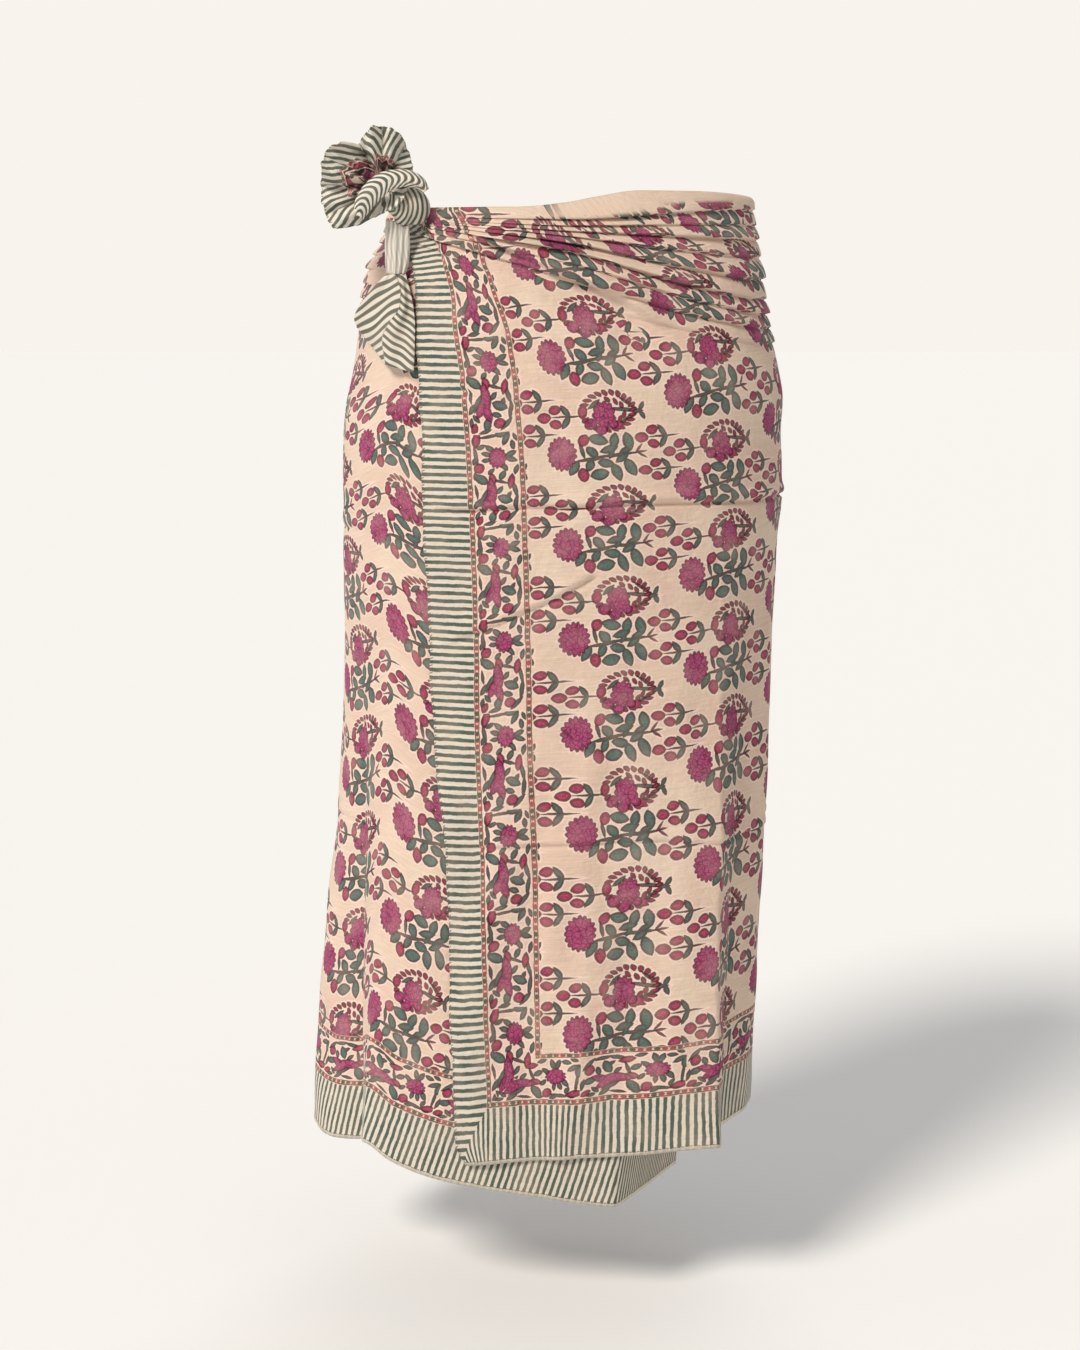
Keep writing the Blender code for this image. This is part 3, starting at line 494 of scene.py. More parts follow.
def makeCloth(name, points, printed, bare=None, thickness=None, closed=False):
    # a grid of cloth between columns and rows, with its place on the printed sheet in a UV map
    columns, rows = points.shape[:2]
    shape = bmesh.new()
    bmesh.ops.create_grid(shape, x_segments=columns - 1, y_segments=rows - 1, size=0.5)
    spots = np.array([vertex.co[:] for vertex in shape.verts])
    low, high = spots.min(axis=0), spots.max(axis=0)
    column = np.rint((spots[:, 0] - low[0]) / (high[0] - low[0]) * (columns - 1)).astype(int)
    row = np.rint((high[1] - spots[:, 1]) / (high[1] - low[1]) * (rows - 1)).astype(int)
    for vertex, place in zip(shape.verts, points[column, row].tolist()):
        vertex.co = place
    mesh = bpy.data.meshes.new(name)
    shape.to_mesh(mesh)
    shape.free()
    corners = np.zeros(len(mesh.loops), int)
    mesh.loops.foreach_get("vertex_index", corners)
    layer = mesh.uv_layers.new(name="cloth")
    layer.data.foreach_set("uv", printed[column, row][corners].ravel())
    amount = np.zeros(len(mesh.vertices)) if bare is None else bare[column, row]
    mesh.attributes.new("bare", "FLOAT", "POINT").data.foreach_set("value", amount)
    if closed:
        welded = bmesh.new()
        welded.from_mesh(mesh)
        bmesh.ops.remove_doubles(welded, verts=welded.verts[:], dist=1e-6)
        welded.to_mesh(mesh)
        welded.free()
    mesh.shade_smooth()
    piece = bpy.data.objects.new(name, mesh)
    bpy.context.scene.collection.objects.link(piece)
    solid = piece.modifiers.new("cloth thickness", "SOLIDIFY")
    solid.thickness = thickness or wall["thickness"]
    solid.offset = -1.0
    solid.material_offset = 1
    solid.material_offset_rim = 0
    return piece


def bareBand(angles):
    # the turned top, which carries no print
    nearKnot = 1.0 - smoothStep((angles - 24.0) / 26.0)
    band = np.where(rowAnchors == 0, 1.0 - smoothStep((rowShares - 0.45 - 0.35 * nearKnot) / 0.2), 0.0)
    return band * smoothStep((angles + 16.0) / 14.0)


knotPull = {"across": 0.047, "lean": 0.010, "crowd": 0.018, "from": -0.085, "over": 0.080}
sheetStripes = 0.0452
outerAngles, outerHeights = outerGrid()
outerProud, outerHidden = gatherRelief(outerAngles, outerAngles)
outerAlong = drawnAlong(outerAngles, outerHeights)
edgeWave = np.exp(-outerAlong / 0.030) * (0.0012 * np.sin(outerHeights * 41.0 + 0.6) + 0.0008 * np.sin(outerHeights * 97.0))
outerProud = outerProud + bodyCreases(outerAngles, outerHeights) + softWaves(outerAngles, outerHeights) + edgeWave
# the stripes lean and crowd where the free edge is drawn into the knot
onStripes = 1.0 - smoothStep(outerAlong / knotPull["across"])
outerUp = printedUp(outerAngles, outerHeights, edges["hem"], outerHidden)
outerUp += knotPull["lean"] * onStripes * smoothStep((outerHeights - knotPull["from"]) / knotPull["over"])
outerUp += knotPull["crowd"] * smoothStep((outerHeights - knotPull["from"]) / knotPull["over"]) ** 2 * (outerAlong < sheetStripes)
outer = makeCloth(
    "outerFrontCloth",
    clothPlace(outerAngles, outerHeights, clothReach(outerAngles, outerHeights) + outerProud),
    np.stack([outerAlong, outerUp], axis=-1), bareBand(outerAngles))
print("outer front made")

backAngles = np.repeat(spread([90.0] + backStretch["columns"])[:, None], rowCount, axis=1)
backHeights = rowHeights(backAngles, backAngles, edges["top"], edges["hem"])
backProud, backHidden = gatherRelief(backAngles, backAngles)
backAlong = clothAlong(backAngles, backHeights, outerAlong[-1])
backProud = backProud + bodyCreases(backAngles, backHeights) + softWaves(backAngles, backHeights)
backUp = printedUp(backAngles, backHeights, edges["hem"], backHidden)
back = makeCloth(
    "backWrapCloth",
    clothPlace(backAngles, backHeights, clothReach(backAngles, backHeights) + backProud),
    np.stack([backAlong, backUp], axis=-1), bareBand(backAngles))
print("back made")

underAngles = np.repeat(spread([-90.0] + underStretch["columns"])[:, None], rowCount, axis=1)
farHip = np.full(underAngles.shape, 270.0)
underHeights = rowHeights(underAngles, farHip, edges["underTop"], edges["underHem"])
underProud, underHidden = gatherRelief(underAngles, farHip)
slip = smoothStep((underAngles - underStretch["slipFrom"]) / (underStretch["slipTo"] - underStretch["slipFrom"]))
relief = np.where(underAngles < -45.0, bodyCreases(underAngles, underHeights), 0.0)
underProud = (underProud * (1.0 - 0.45 * smoothStep((underAngles + 90.0) / 14.0)) + relief + softWaves(underAngles + 360.0, underHeights)) * (1.0 - 0.75 * slip)
underReach = clothReach(underAngles, underHeights) - slip * (wall["solidWall"] + wall["layerGap"]) + underProud
line = underStretch["foldBackReach"] / np.cos(np.radians(underAngles - underStretch["foldBackFacing"]))
foldShare = smoothStep(
    (underStretch["foldBackStarts"] - underHeights) / (underStretch["foldBackStarts"] - underStretch["fullHeight"]))
foldBack = np.where(underAngles > underStretch["foldBackAngle"], np.minimum(0.0, line - underReach), 0.0)
underAlong = clothAlong(underAngles, underHeights, backAlong[-1])
underUp = printedUp(underAngles, underHeights, edges["underHem"], underHidden)
under = makeCloth(
    "underFrontCloth",
    clothPlace(underAngles, underHeights, underReach + foldShare * foldBack),
    np.stack([underAlong, underUp], axis=-1), bareBand(underAngles + 360.0))
print("under front made")


# the tied end: the knot, the opened rosette above it and the two tails below

knotShape = {
    "centre": (-0.1530, -0.0875, 0.0060), "half": (0.0205, 0.0175, 0.0190), "columns": 96, "rows": 56,
    "spiral": (-0.1700, 0.0050), "swirl": 2.6, "wraps": 5, "groove": 0.0022,
}


def clearOfKnot(points, clear):
    centre, half = np.array(knotShape["centre"]), np.array(knotShape["half"]) + clear
    off = points - centre
    size = np.maximum(np.sqrt(((off / half) ** 2).sum(axis=-1, keepdims=True)), 0.05)
    return np.where(size < 1.0, centre + off / size, points)


def clearOfCloth(points, clear):
    heights = points[..., 2]
    offX = points[..., 0] - readTable(woundForm["sections"], "height", "middle", heights)
    angles = np.degrees(np.arctan2(offX, -points[..., 1]))
    needed = clothReach(angles, heights) + clear
    inside = (np.hypot(offX, points[..., 1]) < needed) & (heights <= 0.020)
    return np.where(inside[..., None], clothPlace(angles, heights, needed), points)


def crumple(points, size, seed):
    # ridged unevenness of crushed cotton
    flat = (points.reshape(-1, 3) / size + seed).tolist()
    values = [1.0 - 2.0 * abs(noise.noise(Vector(spot))) for spot in flat]
    return np.array(values).reshape(points.shape[:-1])


turns = np.linspace(0.0, 2.0 * math.pi, knotShape["columns"] + 1)[:, None]
falls = np.linspace(0.0, math.pi, knotShape["rows"] + 1)[None, :]
unit = np.stack([np.sin(falls) * np.cos(turns), -np.cos(falls) + 0.0 * turns, np.sin(falls) * np.sin(turns)], axis=-1)
knotPoints = np.array(knotShape["centre"]) + unit * np.array(knotShape["half"])
fromSpiral = np.stack([knotPoints[..., 0] - knotShape["spiral"][0], knotPoints[..., 2] - knotShape["spiral"][1]], axis=-1)
spiralRadius, spiralTurn = np.linalg.norm(fromSpiral, axis=-1), np.arctan2(fromSpiral[..., 1], fromSpiral[..., 0])
wrapPhase = spiralTurn * knotShape["swirl"] + spiralRadius * 260.0
groove = (0.5 - 0.5 * np.sin(wrapPhase)) ** 2 * np.sin(falls) ** 0.5
knotPoints = knotPoints - unit * (knotShape["groove"] * groove)[..., None]
knotPoints = clearOfCloth(knotPoints, 0.0012)
knot = makeCloth(
    "knotCloth", knotPoints,
    np.stack([0.022 + 0.012 * np.sin(spiralTurn), 0.300 + spiralRadius * 1.75], axis=-1), closed=True)
knot.modifiers.clear()
print("knot made")

rosetteShape = {
    "throat": (-0.1770, -0.0960, 0.0230), "columns": 300, "rows": 58, "open": 0.07, "cup": 0.008,
    "ruffles": 5, "ruffleDepth": 0.0030, "fullReach": 0.058, "stripesAcross": 0.0465, "vineAcross": 0.030, "gathered": 1.28,
    # turn 0 is to the right and 90 is up: the rim's reach and how far it comes forward, and the striped rim's width
    "rim": tableOf(
        "turn reach forward striped",
        (-75, 0.022, 0.010, 0.020), (-25, 0.022, 0.014, 0.018), (20, 0.030, 0.002, 0.020), (55, 0.041, -0.006, 0.024),
        (76, 0.053, 0.004, 0.027), (96, 0.055, 0.016, 0.030), (108, 0.050, 0.010, 0.025), (119, 0.047, -0.010, 0.019),
        (133, 0.055, 0.004, 0.021), (150, 0.060, 0.020, 0.022), (168, 0.057, 0.010, 0.020), (184, 0.058, -0.004, 0.023),
        (200, 0.058, 0.012, 0.030), (217, 0.059, 0.018, 0.035), (231, 0.047, 0.002, 0.031), (252, 0.029, 0.000, 0.022)),
    # pleats that run from the throat to the rim: the turn of each, how proud and how wide in degrees
    "pleats": tableOf(
        "turn rise width",
        (22, -0.0022, 6), (40, 0.0020, 9), (62, -0.0034, 5), (75, 0.0030, 8), (90, -0.0036, 5), (104, 0.0030, 8),
        (119, -0.0064, 5), (134, 0.0034, 8), (152, -0.0034, 5), (164, 0.0024, 7), (177, -0.0036, 5), (191, 0.0030, 8),
        (206, -0.0040, 5), (224, 0.0034, 9), (246, -0.0024, 7), (300, -0.0014, 8)),
    # its flat faces between the deep pleats: from which turn, the way that the stripes run there, and their start
    "faces": [
        (-98.0, 268.0, 0.000), (-30.0, -8.0, 0.011), (22.0, 17.0, 0.019), (62.0, 66.0, 0.004), (90.0, 126.0, 0.023),
        (119.0, 173.0, 0.013), (152.0, 184.0, 0.027), (177.0, 212.0, 0.008), (206.0, 231.0, 0.031)],
    # folds that lie across it, from place to place (across and up from the throat)
    "folds": [
        {"points": [(-.057, .038), (-.038, .037), (-.019, .034), (.004, .025), (.024, .013)], "width": .0065, "rise": .0085, "kind": "lip"},
        {"points": [(-.050, .016), (-.036, .004), (-.026, -.010), (-.014, -.020)], "width": .0050, "rise": .0040, "kind": "lip"},
        {"points": [(.002, .052), (.016, .046), (.028, .034)], "width": .0060, "rise": .0040, "kind": "soft"},
        {"points": [(-.040, .026), (-.020, .020), (.000, .014)], "width": .0040, "rise": -.0034, "kind": "soft"},
        {"points": [(-.034, .012), (-.014, .008), (.006, .004)], "width": .0035, "rise": .0034, "kind": "soft"},
    ],
}
rosetteTurns = np.linspace(0.0, 360.0, rosetteShape["columns"] + 1)[:, None]
ringShares = rosetteShape["open"] + (1.0 - rosetteShape["open"]) * np.linspace(0.0, 1.0, rosetteShape["rows"] + 1)[None, :]
rimReach, rimForward, rimStriped = (
    readTable(rosetteShape["rim"], "turn", name, rosetteTurns, closed=True) for name in ("reach", "forward", "striped"))
rimReach = rimReach * (1.0 + 0.010 * np.sin(np.radians(rosetteTurns) * 23.0) + 0.008 * np.sin(np.radians(rosetteTurns) * 41.0 + 1.0))
turnWays = np.radians(rosetteTurns)
away = rimForward * ringShares ** 1.5 - rosetteShape["cup"] * (1.0 - ringShares) ** 2
away = away + rosetteShape["ruffleDepth"] * np.sin(turnWays * rosetteShape["ruffles"]) * ringShares * rimReach / rosetteShape["fullReach"]
for turn, rise, width in zip(*(rosetteShape["pleats"][name] for name in ("turn", "rise", "width"))):
    off = (rosetteTurns - turn + 180.0) % 360.0 - 180.0
    away = away + 1.5 * rise * np.exp(-(off / width) ** 2) * smoothStep(ringShares / 0.6)
flatX, flatZ = rimReach * ringShares * np.cos(turnWays), rimReach * ringShares * np.sin(turnWays)
away = away + foldRelief(rosetteShape["folds"], flatX, flatZ)
throat = np.array(rosetteShape["throat"])
fromRim = rimReach * (1.0 - ringShares)
rosettePoints = throat + np.stack([flatX, -away, flatZ], axis=-1)
crushed = (1.0 - smoothStep((fromRim / rimStriped - 1.25) / -0.45)) * smoothStep(ringShares / 0.12)
rosettePoints[..., 1] -= 0.0085 * crushed * (crumple(rosettePoints, 0.010, 3.1) - 0.45)
rosettePoints[..., 1] -= 0.0009 * crumple(rosettePoints, 0.017, 9.7)
rosettePoints = clearOfKnot(clearOfCloth(rosettePoints, 0.006), 0.0008)
# on each face the stripes lie side by side, with a slow sway
ways, starts = np.zeros(rosetteTurns.shape), np.zeros(rosetteTurns.shape)
for turn, way, start in rosetteShape["faces"]:
    past = (rosetteTurns + 98.0) % 360.0 >= turn + 98.0
    ways, starts = np.where(past, way, ways), np.where(past, start, starts)
sideways = ringShares * rimReach * np.sin(turnWays - np.radians(ways))
sway = 0.0022 * np.sin(ringShares * 4.2 + turnWays * 3.0) + 0.0010 * np.sin(ringShares * 11.0 + turnWays * 7.0)
wander = (0.10 * np.sin(turnWays * 5.0 + 0.7) + 0.08 * np.sin(turnWays * 11.0 + 2.0) + 0.05 * np.sin(turnWays * 19.0)) * (1.0 - ringShares)
inShare = fromRim / rimStriped * (1.0 + wander * 2.0)
inward = rosetteShape["stripesAcross"] * np.minimum(inShare, 1.0) + rosetteShape["vineAcross"] * np.maximum(inShare - 1.0, 0.0)
rosette = makeCloth(
    "rosetteCloth", rosettePoints,
    np.stack([inward, 0.30 + starts + sideways * rosetteShape["gathered"] + sway], axis=-1),
    closed=True)
print("rosette made")

lipShape = {
    # the rolled edge that curls over the knot, from its left end: across and up from the throat, width, how far forward
    "path": tableOf(
        "at across up width forward",
        (0, -.0225, -.0275, .0100, .0010), (1, -.0165, -.0140, .0180, .0060), (2, -.0060, -.0020, .0200, .0100),
        (3, .0060, .0055, .0185, .0120), (4, .0200, .0080, .0160, .0110), (5, .0330, .0045, .0130, .0070),
        (6, .0400, -.0040, .0080, .0020)),
    "columns": 90, "rows": 18, "roll": 0.0045, "stripesApart": 0.0062,
}
lipAt = np.linspace(0.0, 6.0, lipShape["columns"] + 1)
lipLine = np.stack([readTable(lipShape["path"], "at", name, lipAt) for name in ("across", "up")], axis=-1)
lipWay = np.gradient(lipLine, axis=0)
lipWay /= np.linalg.norm(lipWay, axis=-1, keepdims=True)
lipOut = np.stack([-lipWay[:, 1], lipWay[:, 0]], axis=-1)
lipWidth, lipForward = (readTable(lipShape["path"], "at", name, lipAt)[:, None] for name in ("width", "forward"))
lipRound = np.linspace(0.5, -0.5, lipShape["rows"] + 1)[None, :]
lipFlat = lipLine[:, None, :] + lipOut[:, None, :] * (lipWidth * lipRound)[..., None]
lipPleat = 0.0006 * np.sin(lipAt[:, None] * 13.0 + lipRound * 3.0)
lipNear = 0.004 + lipForward + lipShape["roll"] * np.sqrt(np.maximum(0.0, 1.0 - (2.0 * lipRound) ** 2)) + lipPleat
lipPoints = throat + np.stack([lipFlat[..., 0], -lipNear, lipFlat[..., 1]], axis=-1)
lipPoints = clearOfKnot(lipPoints, 0.0016)
lipArc = np.concatenate([[0.0], np.cumsum(np.linalg.norm(np.diff(lipLine, axis=0), axis=-1))])[:, None]
lip = makeCloth(
    "rosetteRolledEdge", lipPoints,
    np.stack([0.020 + 0.030 * lipRound + 0.0 * lipAt[:, None], 0.30 + lipArc * 0.0075 / lipShape["stripesApart"] + 0.05 * lipRound ** 2], axis=-1))

tailShape = {
    "neck": tableOf(
        "level left fold right leftUp foldUp rightUp proud",
        (0, -.1755, -.1650, -.1530, -.0060, -.0070, -.0090, .003), (1, -.1765, -.1655, -.1525, -.0300, -.0305, -.0300, .005),
        (2, -.1765, -.1660, -.1535, -.0450, -.0455, -.0450, .006), (3, -.1750, -.1665, -.1570, -.0560, -.0565, -.0560, .007)),
    "lobe": tableOf(
        "level left fold right leftUp foldUp rightUp proud",
        (0, -.1755, -.1665, -.1570, -.0565, -.0570, -.0565, .007), (1, -.1890, -.1610, -.1530, -.0700, -.0730, -.0700, .011),
        (2, -.2010, -.1620, -.1490, -.0850, -.0870, -.0860, .015), (3, -.2070, -.1720, -.1470, -.0980, -.1010, -.1050, .017),
        (4, -.1990, -.1790, -.1475, -.1130, -.1170, -.1280, .015), (5, -.1900, -.1760, -.1485, -.1240, -.1400, -.1470, .010)),
    "near": -0.0915, "slope": 0.35, "clear": 0.0060, "wall": 0.0014,
    "neckPleats": 4.5, "neckPleatDepth": 0.0012, "lobePleats": 3.0, "lobePleatDepth": 0.0014,
}


def tailGrid(rows, columns, steps, pleats, depth):
    # columns from the left edge over the middle fold to the right edge
    half = np.linspace(0.0, 2.0, columns + 1)[:, None]
    level = np.linspace(0.0, rows["level"][-1], steps + 1)[None, :]
    edge = {name: readTable(rows, "level", name, level) for name in rows if name != "level"}
    onLeft = half <= 1.0
    share = np.where(onLeft, half, half - 1.0)
    across = np.where(onLeft, edge["left"] + (edge["fold"] - edge["left"]) * share, edge["fold"] + (edge["right"] - edge["fold"]) * share)
    height = np.where(onLeft, edge["leftUp"] + (edge["foldUp"] - edge["leftUp"]) * share, edge["foldUp"] + (edge["rightUp"] - edge["foldUp"]) * share)
    stand = edge["proud"] * np.where(onLeft, share, 1.0 - share)
    pleat = depth * np.sin(half * math.pi * pleats + 0.6 * level)
    plane = tailShape["near"] + tailShape["slope"] * (tailShape["neck"]["right"][0] - across)
    angles = angleAt(across, height)
    front = clothPlace(angles, height, clothReach(angles, height) + tailShape["clear"])[..., 1]
    points = np.stack([across, np.minimum(plane, front) - stand - pleat, height], axis=-1)
    return half, level, clearOfKnot(points, 0.0012)


neckHalf, neckLevel, neckPoints = tailGrid(tailShape["neck"], 72, 40, tailShape["neckPleats"], tailShape["neckPleatDepth"])
neckPrint = np.stack([0.022 + 0.0 * neckPoints[..., 0], 0.90 + (neckPoints[..., 0] + 0.0015 * np.sin(neckPoints[..., 2] * 160.0)) * 1.95], axis=-1)
neck = makeCloth("tailNeckCloth", neckPoints, neckPrint)
lobeHalf, lobeLevel, lobePoints = tailGrid(tailShape["lobe"], 110, 96, tailShape["lobePleats"], tailShape["lobePleatDepth"])
lobeX, lobeZ = lobePoints[..., 0] + 0.1766, lobePoints[..., 2] + 0.056
leftRun = lobeZ * math.cos(math.radians(31.0)) - lobeX * math.sin(math.radians(31.0))
rightRun = lobeZ * math.cos(math.radians(34.0)) + lobeX * math.sin(math.radians(34.0))
lobeSway = 0.0011 * np.sin(lobeX * 120.0 + lobeZ * 60.0) + 0.0007 * np.sin(lobeX * 260.0 - lobeZ * 90.0)
lobePrint = np.stack([0.022 + 0.0 * lobeX, 0.45 + np.where(lobeHalf <= 1.0, leftRun * 1.05, rightRun * 1.25) + lobeSway], axis=-1)
lobe = makeCloth("tailLobeCloth", lobePoints, lobePrint)
print("tails made")


# block-printed cotton

def linear(hexColour):
    # an sRGB hex value as linear light
    parts = [int(hexColour[place:place + 2], 16) / 255.0 for place in (1, 3, 5)]
    return [part / 12.92 if part <= 0.04045 else ((part + 0.055) / 1.055) ** 2.4 for part in parts] + [1.0]


def addNode(tree, kind, *inputs, output=0, into=None, **settings):
    # adds a node with its settings; an input is a value or another node's output, in order or by its own number
    node = tree.nodes.new("ShaderNode" + kind)
    for name, value in settings.items():
        setattr(node, name, value)
    for place, value in [*enumerate(inputs), *(into or {}).items()]:
        if isinstance(value, bpy.types.NodeSocket):
            tree.links.new(value, node.inputs[place])
        else:
            node.inputs[place].default_value = value
    return node.outputs[output]


sheetPrint = {
    # millimetres on the printed sheet, from its free edge and up from its hem
    "stripeEvery": 7.5, "hemStripeEvery": 6.5, "stripeHalf": 1.8, "stripesEnd": 44.4, "turnedHem": 3.4, "overcastEvery": 3.6,
    "outerRope": 46.8, "innerRope": 96.5, "ropeHalf": 2.15, "ropeLine": 0.42, "lozengeEvery": 6.4, "ropeColourEvery": 19.0,
    "hemRope": 52.4, "hemInnerRope": 93.0, "vineRepeat": 92.3,
    "columnEvery": 113.0, "rowEvery": 92.3, "columnDrop": 40.0, "firstColumn": 21.5, "firstRow": 112.0,
}
inks = {
    # the tied end's paler ground is a painted highlight
    "ground": "#E2CCB6", "groundWarm": "#DCBDAA", "borderGround": "#DBD2C2", "tiedGroundPaintedHighlight": "#F1EADB", "halo": "#EBD0C2", "reverse": "#EDEBE4",
    "stripe": "#2A4138", "leaf": "#4C6059", "leafPale": "#74887F", "leafEdge": "#221F20", "bud": "#942A42", "budEdge": "#48111F",
    "blossom": "#9C3360", "blossomPale": "#C26C94", "blossomEdge": "#4E1030",
    "ropeDark": "#23241D", "ropeRed": "#8A2438", "ropeGround": "#E2C3AE",
    "stitch": "#4E4438",
}
# The hand-cut blocks as charts of leaf shapes: across, up, length, width, turn. The flowering branch is measured
# from the middle of its bloom, and so is the ringed flower between two branches.
branch = {
    "leaf": [
        (18.5, 2.4, 15, 3.2, 103), (34.0, 12.2, 18, 9.8, -16), (48.3, 10.4, 15, 8.4, 78), (61.0, 9.0, 18, 9.6, 100),
        (43, 2.6, 17, 7.2, 14), (27.5, 0.5, 14, 8.6, -50), (24.5, -6.6, 25, 3.0, 5), (50, -3.4, 40, 2.8, 3),
        (10.2, -14.5, 17, 8.0, 58), (24.5, -12.4, 13, 7.4, 66), (39, -11.0, 15, 8.6, -14), (32.5, -22.0, 17, 11.0, 10),
        (48, -20.5, 19, 8.8, -72), (60.6, -16.5, 20, 9.8, -66), (54, -6.6, 14, 6.4, 32), (58.5, 0.8, 13, 5.2, 18),
        (44.5, -2.0, 10, 4.2, 60)],
    "bud": [(20.5, 12.4, 12, 9.4, 62), (18.0, -21.8, 14, 9.8, 98), (70.0, 1.6, 10, 1.6, 50), (72, -5.0, 10, 1.6, -38), (72, -1.6, 9, 1.5, 5)],
}
ringed = {
    "leaf": [
        (61, 39.5, 31, 3.2, -8), (64.7, 45.4, 22, 2.8, -39), (63.5, 31, 22, 2.8, 27), (77, 41.6, 9, 3.8, 60),
        (77, 33.6, 9, 3.8, -66), (73, 37.4, 10, 3.6, 0), (33.0, 46.0, 14, 3.8, 38)],
    "bud": [(22, 39.5, 13, 8.2, 80), (54, 25.0, 10, 8.4, 20)],
    "blossom": [(28.5, 27.5, 12, 10.4, 30), (38, 21.5, 11, 9.4, 0), (49, 26.5, 10, 8.6, -30)],
    "innerDrops": [
        (53, 47.5, 7, 3.6, -60), (58.5, 44.0, 7, 3.6, -72), (56, 31.0, 7, 3.6, 60), (60.5, 34.6, 7, 3.6, 70), (45.5, 50.0, 7, 3.6, -50)],
}
sprig = {"leaf": [(3.0, 5.0, 14.0, 5.0, -56), (4.0, 0.0, 25.0, 1.3, 0)], "bud": [(-17.4, 0.0, 12.4, 9.2, 0), (-6.8, 6.8, 11.6, 8.4, 14)]}
sprigPlaces = {"pair": (91.2, -4.6, 16.3), "single": (116.4, -4.5)}
vine = {
    "leaf": [
        (-4, 31.7, 12, 5.0, -40), (-7.5, 26.6, 10, 4.4, -20), (-8, 20.6, 9, 3.8, 2), (15, 24.6, 11, 5.0, 22),
        (15.5, 19.4, 11, 4.8, -20), (8.5, 12.4, 10, 4.4, -52), (-4, 9, 8, 4.2, 45), (-18.2, 37.4, 10, 4.8, 108),
        (-4, 43.4, 24, 2.3, 4), (8, 45.4, 14, 7.0, 12), (11.5, 39.6, 13, 5.2, 60), (-14, 2, 16, 8.4, -35),
        (-18, 25.6, 20, 3.4, 98), (6.5, 4.4, 10, 5.4, 60), (4.4, -2, 16, 2.6, -20), (-12, -17, 19, 4.4, 66),
        (8.4, -20.6, 15, 8.2, -26), (5, -29, 9, 5.0, -20), (3.4, -11, 9, 4.2, 50), (17.6, -11, 18, 3.6, 102),
        (18.4, -25.6, 19, 3.6, 82), (13.4, -38.6, 16, 4.2, 44), (-18, -22.6, 12, 4.4, 58), (-19, -10.6, 14, 2.6, 98),
        (-4.6, -37.6, 12, 6.8, 82), (17.5, 33.0, 9, 4.4, 100), (-12.5, 34.0, 8, 3.8, 30), (-14.5, -31.5, 9, 4.0, -50),
        (-19.5, 20.0, 8, 3.8, 70), (19.5, 8.5, 10, 4.0, 75), (-19.5, -35.5, 9, 3.6, 80), (20.0, 40.5, 8, 3.4, 110),
        (-7.5, -44.0, 12, 3.6, 12), (12.0, -17.0, 8, 3.6, 60), (-19.5, 5.5, 8, 3.2, 84)],
    "bud": [
        (-16.4, 41, 16, 7.0, 78), (-15.3, 13.2, 10.5, 9.2, 40), (14.4, -3, 15, 6.4, 80), (-3, 1.4, 12, 6.8, 100),
        (7, -37.6, 11, 9.4, 20), (-17.2, -40.6, 10, 6.2, 64)],
    "blossom": [(-4, -11.2, 28, 9.2, 96), (-8.6, -21.6, 22, 8.2, 62), (-4, -25.4, 22, 8.2, 108)],
}


def leafGap(tree, spot, shape):
    # how far outside a pointed leaf a place is, in millimetres
    across, up, length, width, turn = shape
    half, side = length / 2.0, width / 2.0
    radius = (half * half + side * side) / (2.0 * side)
    local = addNode(tree, "Mapping", spot, (across, up, 0.0), (0.0, 0.0, math.radians(turn)), vector_type="TEXTURE")
    folded = addNode(tree, "VectorMath", local, operation="ABSOLUTE")
    gap = addNode(tree, "VectorMath", folded, (0.0, side - radius, 0.0), output="Value", operation="DISTANCE")
    return addNode(tree, "Math", gap, radius, operation="SUBTRACT")


def chartGap(tree, spot, shapes, nearest=None, after=None):
    # Cycles has room for some 80 shapes at a time, so each dozen waits for what came before: the tiny share of
    # an earlier gap that it is given moves nothing
    for number, shape in enumerate(shapes):
        if number % 12 == 0:
            earlier = after if nearest is None else nearest
            held = spot
            if earlier is not None:
                held = addNode(tree, "VectorMath", earlier, (0.0, 0.0, 1e-6), spot, operation="MULTIPLY_ADD")
        gap = leafGap(tree, held, shape)
        nearest = gap if nearest is None else addNode(tree, "Math", nearest, gap, operation="MINIMUM")
    return nearest


def roundPlace(tree, spot, across, up, halfWidth, halfHeight):
    # the size and turn of a place about the middle of an oval, where 1 is its rim
    local = addNode(tree, "Mapping", spot, (across, up, 0.0), (0.0, 0.0, 0.0), (halfWidth, halfHeight, 1.0), vector_type="TEXTURE")
    size = addNode(tree, "VectorMath", local, output="Value", operation="LENGTH")
    parts = addNode(tree, "SeparateXYZ", local).node.outputs
    return size, addNode(tree, "Math", parts["Y"], parts["X"], operation="ARCTAN2")


def bloomGap(tree, spot, across, up, halfWidth, halfHeight, petals, cut):
    # a round bloom with a scalloped rim
    size, turn = roundPlace(tree, spot, across, up, halfWidth, halfHeight)
    turned = addNode(tree, "Math", turn, petals / 2.0, operation="MULTIPLY")
    scallop = addNode(tree, "Math", addNode(tree, "Math", turned, operation="SINE"), operation="ABSOLUTE")
    rim = addNode(tree, "Math", scallop, cut / halfWidth, 1.0 - cut / halfWidth, operation="MULTIPLY_ADD")
    outside = addNode(tree, "Math", size, rim, operation="SUBTRACT")
    return addNode(tree, "Math", outside, min(halfWidth, halfHeight), operation="MULTIPLY")


